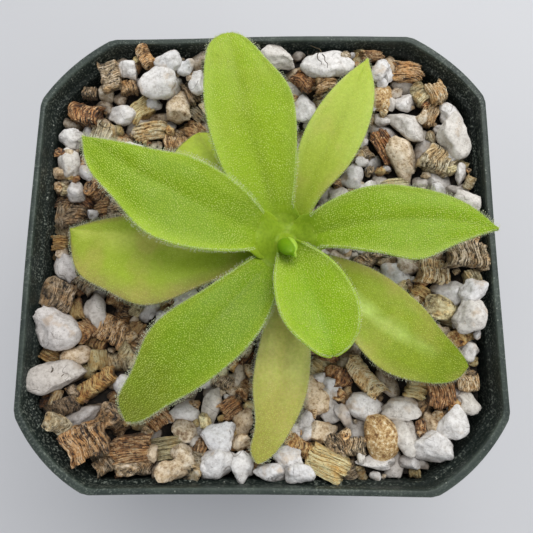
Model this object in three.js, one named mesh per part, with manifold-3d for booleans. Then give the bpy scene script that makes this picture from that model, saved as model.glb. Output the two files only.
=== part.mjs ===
// A butterwort in its square nursery pot: the pot, the potting mix, the crown, the bud and ten leaves.
// Millimetres, +Z up. The origin is the middle of the pot's foot, on the surface that the pot stands on.
import * as THREE from 'three';
import { mergeVertices } from 'three/addons/utils/BufferGeometryUtils.js';
import Module from 'manifold-3d';

const wasm = await Module();
wasm.setup();

// ---- driving dimensions ----
const RIM_WIDTH = 86; // across the flats of the rim
const BASE_WIDTH = 62; // across the flats of the foot
const POT_HEIGHT = 80;
const WALL = 1.0;
const COLLAR_HEIGHT = 9; // the stiffening band below the rim
const COLLAR_STEP = 1.1; // how far the band stands proud of the body
const LIP_DEPTH = 3.4; // the thinner lip above the step inside the rim
const FLOOR_RISE = 1.2; // the floor stands this far above the foot ring
const FLOOR_THICKNESS = 1.6;
const FOOT_WIDTH = 3.4;
const CORNER_CUT = 0.155; // leg of each cut corner, as a part of the width
const CORNER_ROUNDING = 2.2;
const DRAIN_RADIUS = 4.5;
const DRAIN_OFFSET = 17;
const CLEARANCE = 0.3; // gap between pieces that touch

const BED = { middle: 71.6, banked: 3.6, flat: 0.45 }; // flat in the middle and banked up to the wall
const HOLLOW = { x: -42, y: 4, radius: 22, depth: 1.8 }; // the mix has sunk here
const UNDER_LEAVES = { top: 71.2, slope: 0.32 }; // grains lie lower near the crown, under the leaf bases
const GRAIN_HEIGHT = { least: 0.6, share: 0.65 }; // a grain's height from its width
const GRAIN_SINK = { least: 0.5, share: 0.22 }; // how deep it sits in the bed, from its height
const GRAIN_TILT = 0.3; // radians from one side to the other
const SMALL_GRAIN = 4.6; // grains shorter than this have the fewest faces
const LARGE_GRAIN = 6; // flakes longer than this show four layers
const FILL = { tries: 2000, smallest: 3.8, spread: 2.2, kinds: 'wwwcsbgg' }; // grains in between

const CROWN = { x: 4.8, y: 1.2, radius: 2.6, tipRadius: 1.3, shoulder: 74, top: 81.2, root: 60 };
const RIB_THICKNESS = 1.25; // a leaf along its middle
const MARGIN_THICKNESS = 0.65;
const FULL_WIDTH = 6; // a leaf narrower than this is thinner along its middle too
const CUP_REACH = 0.6; // the part of the length over which a leaf's cupped base flattens out
const LEAF_ROWS = 13;
const LEAF_COLUMNS = 6;
const MIDRIB_STEPS = 40;
const BUD_HEIGHT = 6.4;
const BUD_LEAN = { x: 0.9, y: -3.1 }; // how far its tip stands from its foot

function finish(color, roughness) {
  return new THREE.MeshStandardMaterial({ color, roughness, metalness: 0 });
}

/** A seeded random number generator, so that the same grains always fall in the same places. */
function dice(seed) {
  let state = seed >>> 0;
  return () => {
    state = (Math.imul(state, 1664525) + 1013904223) >>> 0;
    return state / 4294967296;
  };
}

// ---- closed meshes to solids and back ----
function welded(geometry) {
  geometry.deleteAttribute('normal');
  geometry.deleteAttribute('uv');
  return mergeVertices(geometry, 1e-4);
}

function toSolid(geometry) {
  const merged = welded(geometry);
  const mesh = new wasm.Mesh({
    numProp: 3,
    vertProperties: new Float32Array(merged.attributes.position.array),
    triVerts: new Uint32Array(merged.index.array),
  });
  return new wasm.Manifold(mesh);
}

function toGeometry(solid) {
  const mesh = solid.getMesh();
  const geometry = new THREE.BufferGeometry();
  geometry.setAttribute('position', new THREE.BufferAttribute(new Float32Array(mesh.vertProperties), 3));
  geometry.setIndex(new THREE.BufferAttribute(new Uint32Array(mesh.triVerts), 1));
  return geometry;
}

// ---- square rings with cut, slightly rounded corners ----
function potRing(half, heightAt) {
  const cut = 2 * half * CORNER_CUT;
  const corners = [];
  for (const [sx, sy] of [[1, 1], [-1, 1], [-1, -1], [1, -1]]) {
    const pair = [[sx * half, sy * (half - cut)], [sx * (half - cut), sy * half]];
    if (sx * sy < 0) pair.reverse();
    corners.push(...pair);
  }
  const ring = [];
  corners.forEach((corner, i) => {
    const before = new THREE.Vector2(...corners[(i + 7) % 8]);
    const after = new THREE.Vector2(...corners[(i + 1) % 8]);
    const here = new THREE.Vector2(...corner);
    const reach = CORNER_ROUNDING * Math.tan(Math.PI / 8);
    const start = here.clone().add(before.sub(here).setLength(reach));
    const end = here.clone().add(after.sub(here).setLength(reach));
    const middle = start.clone().add(end).multiplyScalar(0.25).addScaledVector(here, 0.5);
    for (const p of [start, middle, end]) ring.push(new THREE.Vector3(p.x, p.y, heightAt(p.x, p.y)));
  });
  return ring;
}

/** Joins rings into one closed body, with a fan to a middle point at either end. */
function loft(rings, firstMiddle, lastMiddle) {
  const count = rings[0].length;
  const points = [...rings.flat(), firstMiddle, lastMiddle];
  const first = points.length - 2;
  const last = points.length - 1;
  const faces = [];
  for (let r = 0; r < rings.length - 1; r++) {
    for (let i = 0; i < count; i++) {
      const a = r * count + i;
      const b = r * count + ((i + 1) % count);
      faces.push(a, b, b + count, a, b + count, a + count);
    }
  }
  for (let i = 0; i < count; i++) {
    const next = (i + 1) % count;
    faces.push(first, next, i);
    faces.push(last, (rings.length - 1) * count + i, (rings.length - 1) * count + next);
  }
  const geometry = new THREE.BufferGeometry().setFromPoints(points);
  geometry.setIndex(faces);
  return geometry;
}

const level = (z) => () => z;
const collarFoot = POT_HEIGHT - COLLAR_HEIGHT;
const floorTop = FLOOR_RISE + FLOOR_THICKNESS;

function outerHalf(z) {
  const flare = (RIM_WIDTH - BASE_WIDTH) / 2 - COLLAR_STEP;
  return BASE_WIDTH / 2 + (flare * z) / collarFoot;
}

const innerHalf = (z) => outerHalf(Math.min(z, collarFoot)) - WALL;
const snugHalf = (z) => innerHalf(z) - CLEARANCE;

// ---- the pot: a moulded shell with a foot ring, a collar, a stepped lip and five drain holes ----
function buildPot() {
  const rim = RIM_WIDTH / 2;
  const lipFoot = POT_HEIGHT - LIP_DEPTH;
  const profile = [
    [BASE_WIDTH / 2 - FOOT_WIDTH - 0.4, FLOOR_RISE],
    [BASE_WIDTH / 2 - FOOT_WIDTH, 0],
    [BASE_WIDTH / 2 - 0.6, 0],
    [BASE_WIDTH / 2, 0.8],
    [outerHalf(collarFoot), collarFoot],
    [rim - 0.5, collarFoot + 0.7],
    [rim - 0.1, POT_HEIGHT - 0.6],
    [rim - 0.3, POT_HEIGHT],
    [rim - 1.1, POT_HEIGHT],
    [rim - 1.3, POT_HEIGHT - 0.5],
    [rim - 1.4, lipFoot + 0.4],
    [innerHalf(collarFoot) + 0.2, lipFoot - 0.4],
    [innerHalf(collarFoot), collarFoot],
    [innerHalf(floorTop), floorTop],
  ];
  const rings = profile.map(([half, z]) => potRing(half, level(z)));
  const underside = new THREE.Vector3(0, 0, FLOOR_RISE);
  const inside = new THREE.Vector3(0, 0, floorTop);
  const shell = toSolid(loft(rings, underside, inside));
  const holes = [[0, 0], [1, 1], [-1, 1], [-1, -1], [1, -1]].map(([sx, sy]) => {
    const hole = new THREE.CylinderGeometry(DRAIN_RADIUS, DRAIN_RADIUS, 4 * FLOOR_THICKNESS, 20);
    hole.rotateX(Math.PI / 2);
    hole.translate(sx * DRAIN_OFFSET, sy * DRAIN_OFFSET, floorTop);
    return toSolid(hole);
  });
  return holes.reduce((pot, hole) => pot.subtract(hole), shell);
}

// ---- the potting mix: coarse perlite and vermiculite ----
// The large grains that show round the plant: x, y, z, length, width, turn in degrees and kind.
// Kinds: w white perlite, c cream stained perlite, s straw, b brown and g grey vermiculite, o tan pebble.
const SHOWN_GRAINS = `
-23.5 41 76.5 5 3 -60 s|-19 40 76.5 5 4.5 0 w|-20.5 36 75.5 6.5 5.5 0 w|-15.5 39 75.5 3.5 3 0 w
-27.5 38.5 75.5 3.5 3.5 0 w|-30.5 36.5 76.5 5 4 -70 c|-34.5 33 76.5 3 2.5 0 g|-35.5 29 75.5 7 4.5 -15 b
-27 35 75 3.5 3 0 s|-24.5 30 74.5 6 4 45 s|-31.5 33.5 75.5 3.5 3 -30 c|-28.5 29 74.5 5.5 3.5 10 w
-22.5 26 73.5 7 4 5 g|-17 31 74.5 6.5 5 -80 g|-22 32 74 3 2.5 0 w|-14.5 34 74.5 5.5 2.5 -55 g
-13 36 75 5 3.5 -80 w|-13 29.5 73.5 4 2.5 -45 g|-38 23.5 75.5 4.5 4 0 w|-38.5 18.5 75 6 4 80 c
-35 17 74.5 4 2.5 -60 w|-37 13 74.5 4.5 3.5 -60 w|-33 13.5 74 5 4 -50 s|-33.5 8.5 73.5 2 2 0 w
3.5 40.5 76.5 6.5 4.5 -40 w|13.5 39 76.5 10.5 6 0 w|8.5 36 75 5 3 -35 b|13 35.5 75 5 4 10 s
8.5 30.5 74 7 5 -60 c|22.5 40.5 76.5 5 2 0 b|24 38 75.5 4.5 3.5 40 w|29.5 37 76.5 7 4 -8 s
24 32.5 75 6 5 80 o|28.5 34.5 75 5 2.5 -10 w|28.5 31 75 5 3.5 -10 w|32 32.5 75.5 5 3.5 -60 g
33.5 28.5 75 5.5 3.5 60 s|29 26.5 74.5 8 4.5 -30 w|24.5 28 74 3 2.5 0 w|25 22 73.5 8 4 -65 b
28.5 19.5 74 9 5.5 -65 c|23 24.5 73 2 2 0 w|21 21.5 72.5 4 2.5 -60 g|18.5 16.5 72 5 4 50 w
31.5 14.5 74 3 2.5 0 w|35 32.5 76.5 5 3.5 -70 b|38 28.5 76 5 3.5 -40 w|39 23 76.5 8.5 6.5 80 w
35.5 25 75 2.5 2 0 w|34.5 18.5 75.5 6.5 5.5 -30 g|39 16 75 4 2 80 w|40.5 14 75 3 2 60 g
41.5 10 76.5 5 4.5 0 w|35 13 74.5 3 2.5 0 w|38.5 -0.5 76.5 7.5 5.5 -10 b|32.5 -3.5 75 6 5 -15 s
28.5 -2 73.5 5 4.5 0 c|25.5 -4 73 5.5 5 -30 w|35.5 -7.5 75 6.5 4.5 -30 w|40 -7.5 76.5 4.5 4.5 0 w
39 -11.5 76.5 5.5 6.5 0 w|34.5 -11 75 8.5 5 -25 g|30 -7.5 74 4 3.5 -30 b|39.5 -4.5 75.5 3 2.5 0 g
19.5 -23 73 9.5 4 -50 s|19.5 -28.5 73.5 7 4.5 -25 w|25.5 -28.5 74.5 6.5 4 0 w|26 -33.5 75 6.5 4.5 -70 w
22 -33.5 75 8.5 6.5 -80 o|28.5 -25 74.5 4.5 4 -20 g|32.5 -26 75.5 5 5.5 0 b|37.5 -24 75.5 4 3.5 0 s
37 -27.5 75.5 4.5 4 -30 w|34.5 -31.5 76.5 6.5 4.5 55 w|30.5 -31 75 4 3.5 -60 c|32.5 -30 75 3 2.5 0 s
30.5 -35 76.5 7 5 -20 w|20.5 -37.5 75 6.5 2.5 -5 w|26.5 -37.5 75 3.5 2.5 0 w|37 -15.5 75 5.5 3 20 b
38 -18 75.5 3.5 3.5 60 w|39 -20 75 2 1.5 60 s|-14 -29 73.5 5.5 4 0 w|-9 -28.5 73.5 7 3.5 70 w
-7 -24 72.5 4.5 3 -20 g|-4 -22.5 72 4 2.5 70 c|-3 -25.5 72.5 4 3 60 b|-5.5 -28.5 73.5 4.5 4 30 b
-3 -31.5 74 5.5 3.5 -80 c|-7.5 -33.5 75 5.5 5 0 w|-7 -38 75.5 6 5 0 w|-3.5 -34.5 75 3.5 3 0 c
-3 -38.5 75.5 5 3.5 -80 c|-9.5 -38.5 75.5 3.5 2.5 -60 w|5 -37 75.5 5 4 0 w|2 -39.5 76.5 5.5 3.5 -10 w
7 -39.5 76.5 5 3.5 -15 w|10 -26 73 7 5 -70 c|12.5 -26.5 73 5 2.5 -55 w|8 -31 74 4 3 60 w
15.5 -30 73.5 5 2.5 -65 w|11 -32.5 74.5 5.5 4 35 c|13.5 -34.5 75 4 3.5 -60 g|7 -35 75 6.5 3.5 -35 b
12 -38 75.5 7.5 5 -25 s|16.5 -35 75 5 3.5 0 g|14.5 -23 72.5 5.5 4 -15 b|15 -26.5 73 3.5 2.5 -30 b
13 -19 72 4 2.5 -20 b|-38.5 -14.5 76.5 9 7.5 -20 w|-37 -23 76.5 10.5 6 5 w|-34.5 -19 75 5.5 4 10 c
-31.5 -11 74 7 4 -75 w|-28 -14.5 73.5 6.5 5.5 -30 s|-30.5 -20 74 4 4 0 s|-30.5 -24.5 74.5 9 3.5 33 s
-33 -14.5 74.5 5.5 4 40 b|-35 -10.5 74.5 4.5 2.5 -70 b|-38 -8 76.5 6.5 5.5 -30 c|-32 -30 75 6.5 3.5 35 w
-36 -28.5 75.5 6.5 3.5 15 g|-36.5 -31.5 76.5 5 3.5 -30 g|-32.5 -36 76.5 7.5 6.5 20 s
-26.5 -30.5 75 6.5 5 -40 g|-23 -35.5 75.5 8 5 5 b|-20 -36.5 75 3.5 3 0 c|-22.5 -39 75.5 6.5 2.5 0 g
-15.5 -39 76.5 5.5 3.5 0 c|-13.5 -32.5 74.5 4.5 4 0 c|-13.5 -37 75.5 4.5 3.5 -60 c
-11.5 -38.5 75.5 5 3.5 60 w|-29 -34.5 75.5 7 3.5 -70 g|-27.5 -38.5 75.5 4 3 20 g|-18.5 -30.5 74 5 4 30 b
-21.5 -31.5 74 4 2 0 g|-25 -19 73 5.5 3 -55 g|-24 -14 72.5 4 2.5 50 b|-22 -10.5 72 4.5 4 0 w
-28 -8.5 73 4 3 -20 b|-39.5 8 74 5.5 3 80 g|-36.5 8 74 4.5 4 0 g|-39 2.5 74.5 3.5 3 0 b
-37.5 -2.5 74 5.5 4 -60 w|-33.5 -5.5 74 4.5 3.5 -45 g|-35.5 -6.5 74 3.5 2 -40 b|16.5 9 71.5 2.5 2 0 w`;

const { clamp, degToRad, smoothstep } = THREE.MathUtils;

/** The top of the fine mix that the coarse grains sit in. */
function bedHeight(x, y) {
  const ring = Math.max(Math.abs(x), Math.abs(y), (Math.abs(x) + Math.abs(y)) / (2 - 2 * CORNER_CUT));
  const away = Math.hypot(x - HOLLOW.x, y - HOLLOW.y);
  const banked = BED.banked * smoothstep(ring / snugHalf(collarFoot), BED.flat, 1);
  return BED.middle + banked - HOLLOW.depth * (1 - smoothstep(away, 0, HOLLOW.radius));
}

/** Moves a grain in from the wall, so that its rounded outline stays clear of it. */
function tuckIn(grain) {
  const reach = snugHalf(grain.z) - 0.16 * grain.long - 0.3 * grain.wide;
  const cornerReach = reach * (2 - 2 * CORNER_CUT);
  grain.x = clamp(grain.x, -reach, reach);
  grain.y = clamp(grain.y, -reach, reach);
  const over = Math.abs(grain.x) + Math.abs(grain.y) - cornerReach;
  if (over > 0) {
    grain.x -= (Math.sign(grain.x) * over) / 2;
    grain.y -= (Math.sign(grain.y) * over) / 2;
  }
}

/** Seats a grain that has no height of its own; round the crown it lies lower, under the leaf bases. */
function seat(grain) {
  const standing = grain.high - GRAIN_SINK.least - GRAIN_SINK.share * grain.high;
  const spread = Math.hypot(grain.x - CROWN.x, grain.y - CROWN.y);
  const most = UNDER_LEAVES.top + UNDER_LEAVES.slope * spread;
  grain.z = Math.min(bedHeight(grain.x, grain.y) + standing, most) - grain.high / 2;
}

const grainHeight = (wide) => GRAIN_HEIGHT.least + GRAIN_HEIGHT.share * wide;

/** Whether a new grain stands clear of the crown and is not too deep in another one. */
function fits(grain, grains) {
  const spread = Math.hypot(grain.x - CROWN.x, grain.y - CROWN.y);
  if (spread < CROWN.radius + 0.55 * grain.long + 1) return false;
  const room = (other) => 0.2 * (other.long + other.wide) + 0.55 * grain.wide;
  return grains.every((other) => Math.hypot(other.x - grain.x, other.y - grain.y) >= room(other));
}

function layGrains() {
  const rand = dice(20);
  const grains = SHOWN_GRAINS.trim().split(/[|\n]/).map((row) => {
    const [x, y, z, long, wide, turn] = row.split(' ').map(Number);
    const grain = { x, y, z, long, wide, high: grainHeight(wide), turn, kind: row.at(-1) };
    tuckIn(grain);
    return grain;
  });
  for (let i = 0; i < FILL.tries; i++) {
    const wide = FILL.smallest + FILL.spread * rand() ** 2;
    const long = wide * (1.1 + 0.5 * rand());
    const x = (rand() - 0.5) * RIM_WIDTH;
    const y = (rand() - 0.5) * RIM_WIDTH;
    const turn = rand() * 180;
    const kind = FILL.kinds[Math.floor(rand() * FILL.kinds.length)];
    const grain = { x, y, long, wide, high: grainHeight(wide), turn, kind };
    seat(grain);
    tuckIn(grain);
    if (fits(grain, grains)) grains.push(grain);
  }
  return grains;
}

/** A knobbly lump: an icosahedron with its corners pushed in and out. */
function perlite(grain, rand) {
  const small = grain.long < SMALL_GRAIN;
  const round = small ? new THREE.OctahedronGeometry(0.58, 0) : new THREE.IcosahedronGeometry(0.53, 0);
  const lump = welded(round);
  const spots = lump.attributes.position;
  for (let i = 0; i < spots.count; i++) {
    const push = 0.9 + 0.2 * rand();
    spots.setXYZ(i, spots.getX(i) * push, spots.getY(i) * push, spots.getZ(i) * push);
  }
  return lump.scale(grain.long, grain.wide, grain.high);
}

/** A flake of expanded mica: a block whose stacked layers stand in and out like an accordion. */
function vermiculite(grain, rand) {
  const layers = [4, 2, 1].find((_, i) => grain.long > [LARGE_GRAIN, SMALL_GRAIN, 0][i]);
  const block = welded(new THREE.BoxGeometry(1, 1, 1, layers, 1, 1));
  const spots = block.attributes.position;
  for (let i = 0; i < spots.count; i++) {
    const layer = Math.round((spots.getX(i) + 0.5) * layers);
    const swell = 0.78 + (layer % 2) * 0.1 + 0.07 * rand();
    spots.setXYZ(i, spots.getX(i) * (0.87 + 0.11 * rand()), spots.getY(i) * swell, spots.getZ(i) * swell);
  }
  return block.scale(grain.long, grain.wide, grain.high);
}

/** The fine bottom of the mix: a plug of the pot's inner shape with the hollow in its top. */
function buildBed() {
  const foot = floorTop + CLEARANCE;
  const shoulder = BED.middle - 6;
  const rings = [potRing(snugHalf(foot), level(foot)), potRing(snugHalf(shoulder), level(shoulder))];
  for (const share of [1, 0.86, 0.68, 0.46, 0.22]) {
    rings.push(potRing(snugHalf(shoulder) * share, bedHeight));
  }
  const bottom = new THREE.Vector3(0, 0, foot);
  const top = new THREE.Vector3(0, 0, bedHeight(0, 0));
  return toSolid(loft(rings, bottom, top));
}

function buildGrains() {
  const rand = dice(7);
  return layGrains().map((grain) => {
    const shape = 'wco'.includes(grain.kind) ? perlite(grain, rand) : vermiculite(grain, rand);
    shape.rotateX((rand() - 0.5) * GRAIN_TILT);
    shape.rotateY((rand() - 0.5) * GRAIN_TILT);
    shape.rotateZ(degToRad(grain.turn));
    shape.translate(grain.x, grain.y, grain.z);
    return toSolid(shape);
  });
}

function buildMix() {
  const foot = floorTop + CLEARANCE;
  const rings = [potRing(snugHalf(foot), level(foot)), potRing(snugHalf(collarFoot), level(POT_HEIGHT))];
  const inside = toSolid(loft(rings, new THREE.Vector3(0, 0, foot), new THREE.Vector3(0, 0, POT_HEIGHT)));
  const depth = POT_HEIGHT - CROWN.root + CLEARANCE;
  const bore = CROWN.radius + CLEARANCE;
  const rootHole = new THREE.CylinderGeometry(bore, bore, depth, 16);
  rootHole.rotateX(Math.PI / 2);
  rootHole.translate(CROWN.x, CROWN.y, POT_HEIGHT - depth / 2);
  const heap = wasm.Manifold.union([buildBed(), ...buildGrains()]);
  const mix = heap.intersect(inside).subtract(toSolid(rootHole));
  return mix.decompose().reduce((best, piece) => (piece.volume() > best.volume() ? piece : best));
}

// ---- the crown: a short stem on its root plug, tapering above the soil ----
function stemRadius(z) {
  const taper = clamp((z - CROWN.shoulder) / (CROWN.top - CROWN.shoulder), 0, 1);
  return CROWN.radius + (CROWN.tipRadius - CROWN.radius) * taper;
}

function buildCrown() {
  const profile = [
    [0, CROWN.root], [1.2, CROWN.root + 0.6], [2.0, CROWN.root + 5], [CROWN.radius, CROWN.root + 10],
    [CROWN.radius, CROWN.shoulder], [stemRadius(CROWN.top - 0.5), CROWN.top - 0.5],
    [CROWN.tipRadius - 0.5, CROWN.top], [0, CROWN.top],
  ].map(([r, z]) => new THREE.Vector2(r, z));
  return new THREE.LatheGeometry(profile, 18).rotateX(Math.PI / 2).translate(CROWN.x, CROWN.y, 0);
}

// ---- the bud: the next leaf, still rolled up, leaning over the crown ----
function buildBud() {
  const profile = [
    [0, 0], [0.95, 0.05], [1.3, 1.4], [1.6, 3.2], [1.55, 4.6], [1.15, 5.7], [0.5, 6.25], [0, BUD_HEIGHT],
  ].map(([r, z]) => new THREE.Vector2(r, z));
  const bud = new THREE.LatheGeometry(profile, 14).rotateX(Math.PI / 2);
  const spots = bud.attributes.position;
  for (let i = 0; i < spots.count; i++) {
    const lean = (spots.getZ(i) / BUD_HEIGHT) ** 2;
    spots.setXY(i, spots.getX(i) + BUD_LEAN.x * lean, spots.getY(i) + BUD_LEAN.y * lean);
  }
  return bud.translate(CROWN.x + 0.1, CROWN.y - 0.1, CROWN.top + CLEARANCE);
}

// ---- the leaves ----
// turn: heading of the leaf's base round the crown; sway: how far it turns on its way to the tip;
// rise and fall: pitch at base and tip; base: height of the base; blunt: 0 a pointed tip, 1 a round one;
// cup: how far each half is folded up, at the base and further out;
// left and right: half widths at even steps from base to tip.
const LEAVES = {
  leaf_front: {
    turn: -66, sway: -9.5, length: 22.2, rise: 42, fall: 5, base: 80.6,
    cup: [70, 35], blunt: 0.95, color: 0x86b52a,
    left: [1.9, 6.1, 6.8, 5.9, 3.6], right: [1.9, 6, 6.6, 5, 2.8],
  },
  leaf_upper_left: {
    turn: 165.6, sway: -24, length: 40.4, rise: 38, fall: -16, base: 79.9,
    cup: [60, 10], blunt: 0.37, color: 0x7fb02c,
    left: [2, 7, 8.9, 6.3, 4.1], right: [1.9, 6.1, 6.8, 4.5, 2.3],
  },
  leaf_right: {
    turn: 12.5, sway: -23.5, length: 36, rise: 38, fall: -14, base: 79,
    cup: [60, 10], blunt: 0.06, color: 0x82b12e,
    left: [2.1, 5, 6.3, 5.4, 3.5], right: [2.1, 3.9, 5.9, 7.3, 3.8],
  },
  leaf_lower_left: {
    turn: 233, sway: -8, length: 41, rise: 36, fall: -24, base: 78.1,
    cup: [60, 5], blunt: 0.9, color: 0x7aa826,
    left: [2.5, 7, 6, 3.5, 2], right: [2.4, 5, 7.4, 5, 3.6],
  },
  leaf_back: {
    turn: 110, sway: -8, length: 37.5, rise: 40, fall: 0, base: 77.5,
    cup: [60, 15], blunt: 0.97, color: 0x8fbb3c,
    left: [2.5, 7, 7.2, 5.6, 3.6], right: [2.3, 6.8, 8.6, 5.5, 2.8],
  },
  leaf_lower_right: {
    turn: -48.5, sway: 28.5, length: 38, rise: 30, fall: -22, base: 76.8,
    cup: [50, 5], blunt: 0.4, color: 0x93b43c,
    left: [2.4, 6, 6.9, 5.3, 3], right: [2.4, 4.5, 5.8, 7.3, 4.8],
  },
  leaf_left: {
    turn: 184, sway: -18, length: 39, rise: 24, fall: -18, base: 76.1,
    cup: [40, 5], blunt: 0.55, color: 0x97ab38,
    left: [2.3, 7.2, 12, 10.2, 7.5], right: [2.4, 5, 6, 4, 2],
  },
  leaf_upper_right: {
    turn: 66.5, sway: -0.5, length: 38.3, rise: 28, fall: -14, base: 75.4,
    cup: [50, 10], blunt: 0.05, color: 0xa3b84a,
    left: [2, 3.4, 5.2, 4.8, 2.9], right: [1.9, 2.5, 5.2, 5.6, 4],
  },
  leaf_bottom: {
    turn: 273.8, sway: -24.1, length: 36.7, rise: 20, fall: -7, base: 74.7,
    cup: [30, 0], blunt: 0.94, color: 0xa5a54e,
    left: [2.1, 4.2, 5, 3.6, 1.8], right: [2.1, 4.3, 4.7, 2.5, 1.9],
  },
  leaf_hidden: {
    turn: 133, sway: -14, length: 26.2, rise: 22, fall: -12, base: 74,
    cup: [30, 0], blunt: 0.9, color: 0x9dae3c,
    left: [2.1, 4.6, 6.5, 6.9, 5.8], right: [2.1, 3.9, 3.8, 2.4, 2],
  },
};

/** A smooth curve through values at even steps of s from 0 to 1. */
function through(values, s) {
  const last = values.length - 1;
  const i = Math.min(Math.floor(s * last), last - 1);
  const f = s * last - i;
  const [b, c] = [values[i], values[i + 1]];
  const a = i > 0 ? values[i - 1] : 2 * b - c;
  const d = i + 2 <= last ? values[i + 2] : 2 * c - b;
  const square = 2 * a - 5 * b + 4 * c - d;
  const cube = 3 * b - a - 3 * c + d;
  return b + ((c - a) * f + square * f ** 2 + cube * f ** 3) / 2;
}

/** The midrib at the share t of its length: its place, and the directions to the left and up. */
function midrib(leaf, t) {
  const headingAt = (at) => degToRad(leaf.turn + leaf.sway * at);
  const pitchAt = (at) => degToRad(leaf.rise + (leaf.fall - leaf.rise) * at);
  const ahead = (heading, pitch) => new THREE.Vector3(1, 0, 0)
    .applyAxisAngle(new THREE.Vector3(0, -1, 0), pitch)
    .applyAxisAngle(new THREE.Vector3(0, 0, 1), heading);
  const spine = new THREE.Vector3(CROWN.x, CROWN.y, leaf.base)
    .addScaledVector(ahead(headingAt(0), 0), stemRadius(leaf.base) + 2 * CLEARANCE);
  for (let i = 0; i < MIDRIB_STEPS; i++) {
    const at = ((i + 0.5) / MIDRIB_STEPS) * t;
    spine.addScaledVector(ahead(headingAt(at), pitchAt(at)), (leaf.length * t) / MIDRIB_STEPS);
  }
  const left = ahead(headingAt(t) + Math.PI / 2, 0);
  const up = ahead(headingAt(t), pitchAt(t) + Math.PI / 2);
  return { spine, left, up };
}

/** One point of the blade: s runs from base to tip and u from the right margin to the left. */
function bladePoint(leaf, s, u, face) {
  const t = s * (1 + leaf.blunt) - leaf.blunt * s * s;
  const { spine, left, up } = midrib(leaf, t);
  const half = Math.max(through([...(u < 0 ? leaf.right : leaf.left), 0], s), 0.25);
  const fold = degToRad(THREE.MathUtils.lerp(...leaf.cup, Math.min(t / CUP_REACH, 1)));
  const lean = (fold * Math.abs(u)) / 2;
  const fullness = (1 - u * u) * Math.min((2 * half) / FULL_WIDTH, 1);
  const offset = (face * THREE.MathUtils.lerp(MARGIN_THICKNESS, RIB_THICKNESS, fullness)) / 2;
  return spine
    .addScaledVector(left, half * u * Math.cos(lean) - offset * Math.sin(fold * u))
    .addScaledVector(up, half * Math.abs(u) * Math.sin(lean) + offset * Math.cos(fold * u));
}

function buildLeaf(leaf) {
  const row = LEAF_COLUMNS + 1;
  const sheet = LEAF_ROWS * row;
  const points = [];
  for (let i = 0; i < 2 * sheet; i++) {
    const face = i < sheet ? 1 : -1;
    const s = Math.floor((i % sheet) / row) / (LEAF_ROWS - 1);
    const u = ((i % row) / LEAF_COLUMNS) * 2 - 1;
    points.push(bladePoint(leaf, s, u, face));
  }
  const faces = [];
  const quad = (a, b, c, d) => faces.push(a, b, c, a, c, d);
  for (let r = 0; r < LEAF_ROWS - 1; r++) {
    const right = r * row;
    const left = right + LEAF_COLUMNS;
    for (let a = right; a < left; a++) {
      const below = sheet + a;
      quad(a, a + row, a + row + 1, a + 1);
      faces.push(below, below + row + 1, below + row, below, below + 1, below + row + 1);
    }
    quad(right, sheet + right, sheet + right + row, right + row);
    quad(left, left + row, sheet + left + row, sheet + left);
  }
  const tip = (LEAF_ROWS - 1) * row;
  for (let c = 0; c < LEAF_COLUMNS; c++) {
    quad(c, c + 1, sheet + c + 1, sheet + c);
    quad(tip + c, sheet + tip + c, sheet + tip + c + 1, tip + c + 1);
  }
  const geometry = new THREE.BufferGeometry().setFromPoints(points);
  geometry.setIndex(faces);
  return geometry;
}

// ---- the assembly ----
const group = new THREE.Group();

function place(name, geometry, material) {
  const mesh = new THREE.Mesh(geometry, material);
  mesh.name = name;
  group.add(mesh);
}

place('pot', toGeometry(buildPot()), finish(0x1d2622, 0.5));
place('potting_mix', toGeometry(buildMix()), finish(0xb9aa92, 0.9));
place('crown', buildCrown(), finish(0x9aa84a, 0.6));
place('bud', buildBud(), finish(0x78b52a, 0.4));
for (const [name, leaf] of Object.entries(LEAVES)) place(name, buildLeaf(leaf), finish(leaf.color, 0.45));

export default group;
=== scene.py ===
import math

import bpy
import numpy as np
from mathutils import Euler, Matrix, Vector, noise


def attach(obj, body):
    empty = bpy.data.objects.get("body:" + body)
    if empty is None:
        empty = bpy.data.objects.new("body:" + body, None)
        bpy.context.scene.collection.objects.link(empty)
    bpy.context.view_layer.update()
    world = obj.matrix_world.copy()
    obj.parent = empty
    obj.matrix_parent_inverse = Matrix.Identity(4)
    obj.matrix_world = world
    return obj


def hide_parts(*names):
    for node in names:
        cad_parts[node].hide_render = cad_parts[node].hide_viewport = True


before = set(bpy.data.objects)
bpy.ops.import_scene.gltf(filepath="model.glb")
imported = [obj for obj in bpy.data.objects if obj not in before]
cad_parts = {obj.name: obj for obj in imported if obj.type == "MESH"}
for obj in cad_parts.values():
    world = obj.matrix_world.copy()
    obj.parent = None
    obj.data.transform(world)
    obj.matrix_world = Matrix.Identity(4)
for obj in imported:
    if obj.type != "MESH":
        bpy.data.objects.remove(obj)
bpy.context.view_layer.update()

# ---- the camera ----
# It looks down on the pot from in front and a little off the vertical, from the height of a hand that
# holds it over the rosette, with a 36 mm lens on a 36 mm sensor.
bpy.ops.object.camera_add(
    location=(0.00357, -0.02154, 0.17465),
    rotation=(math.radians(10.92), math.radians(1.36), math.radians(0.13)),
)
camera = bpy.context.object
camera.data.sensor_width, camera.data.lens, camera.data.clip_start = 36, 36, 0.01
bpy.context.scene.camera = camera


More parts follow.
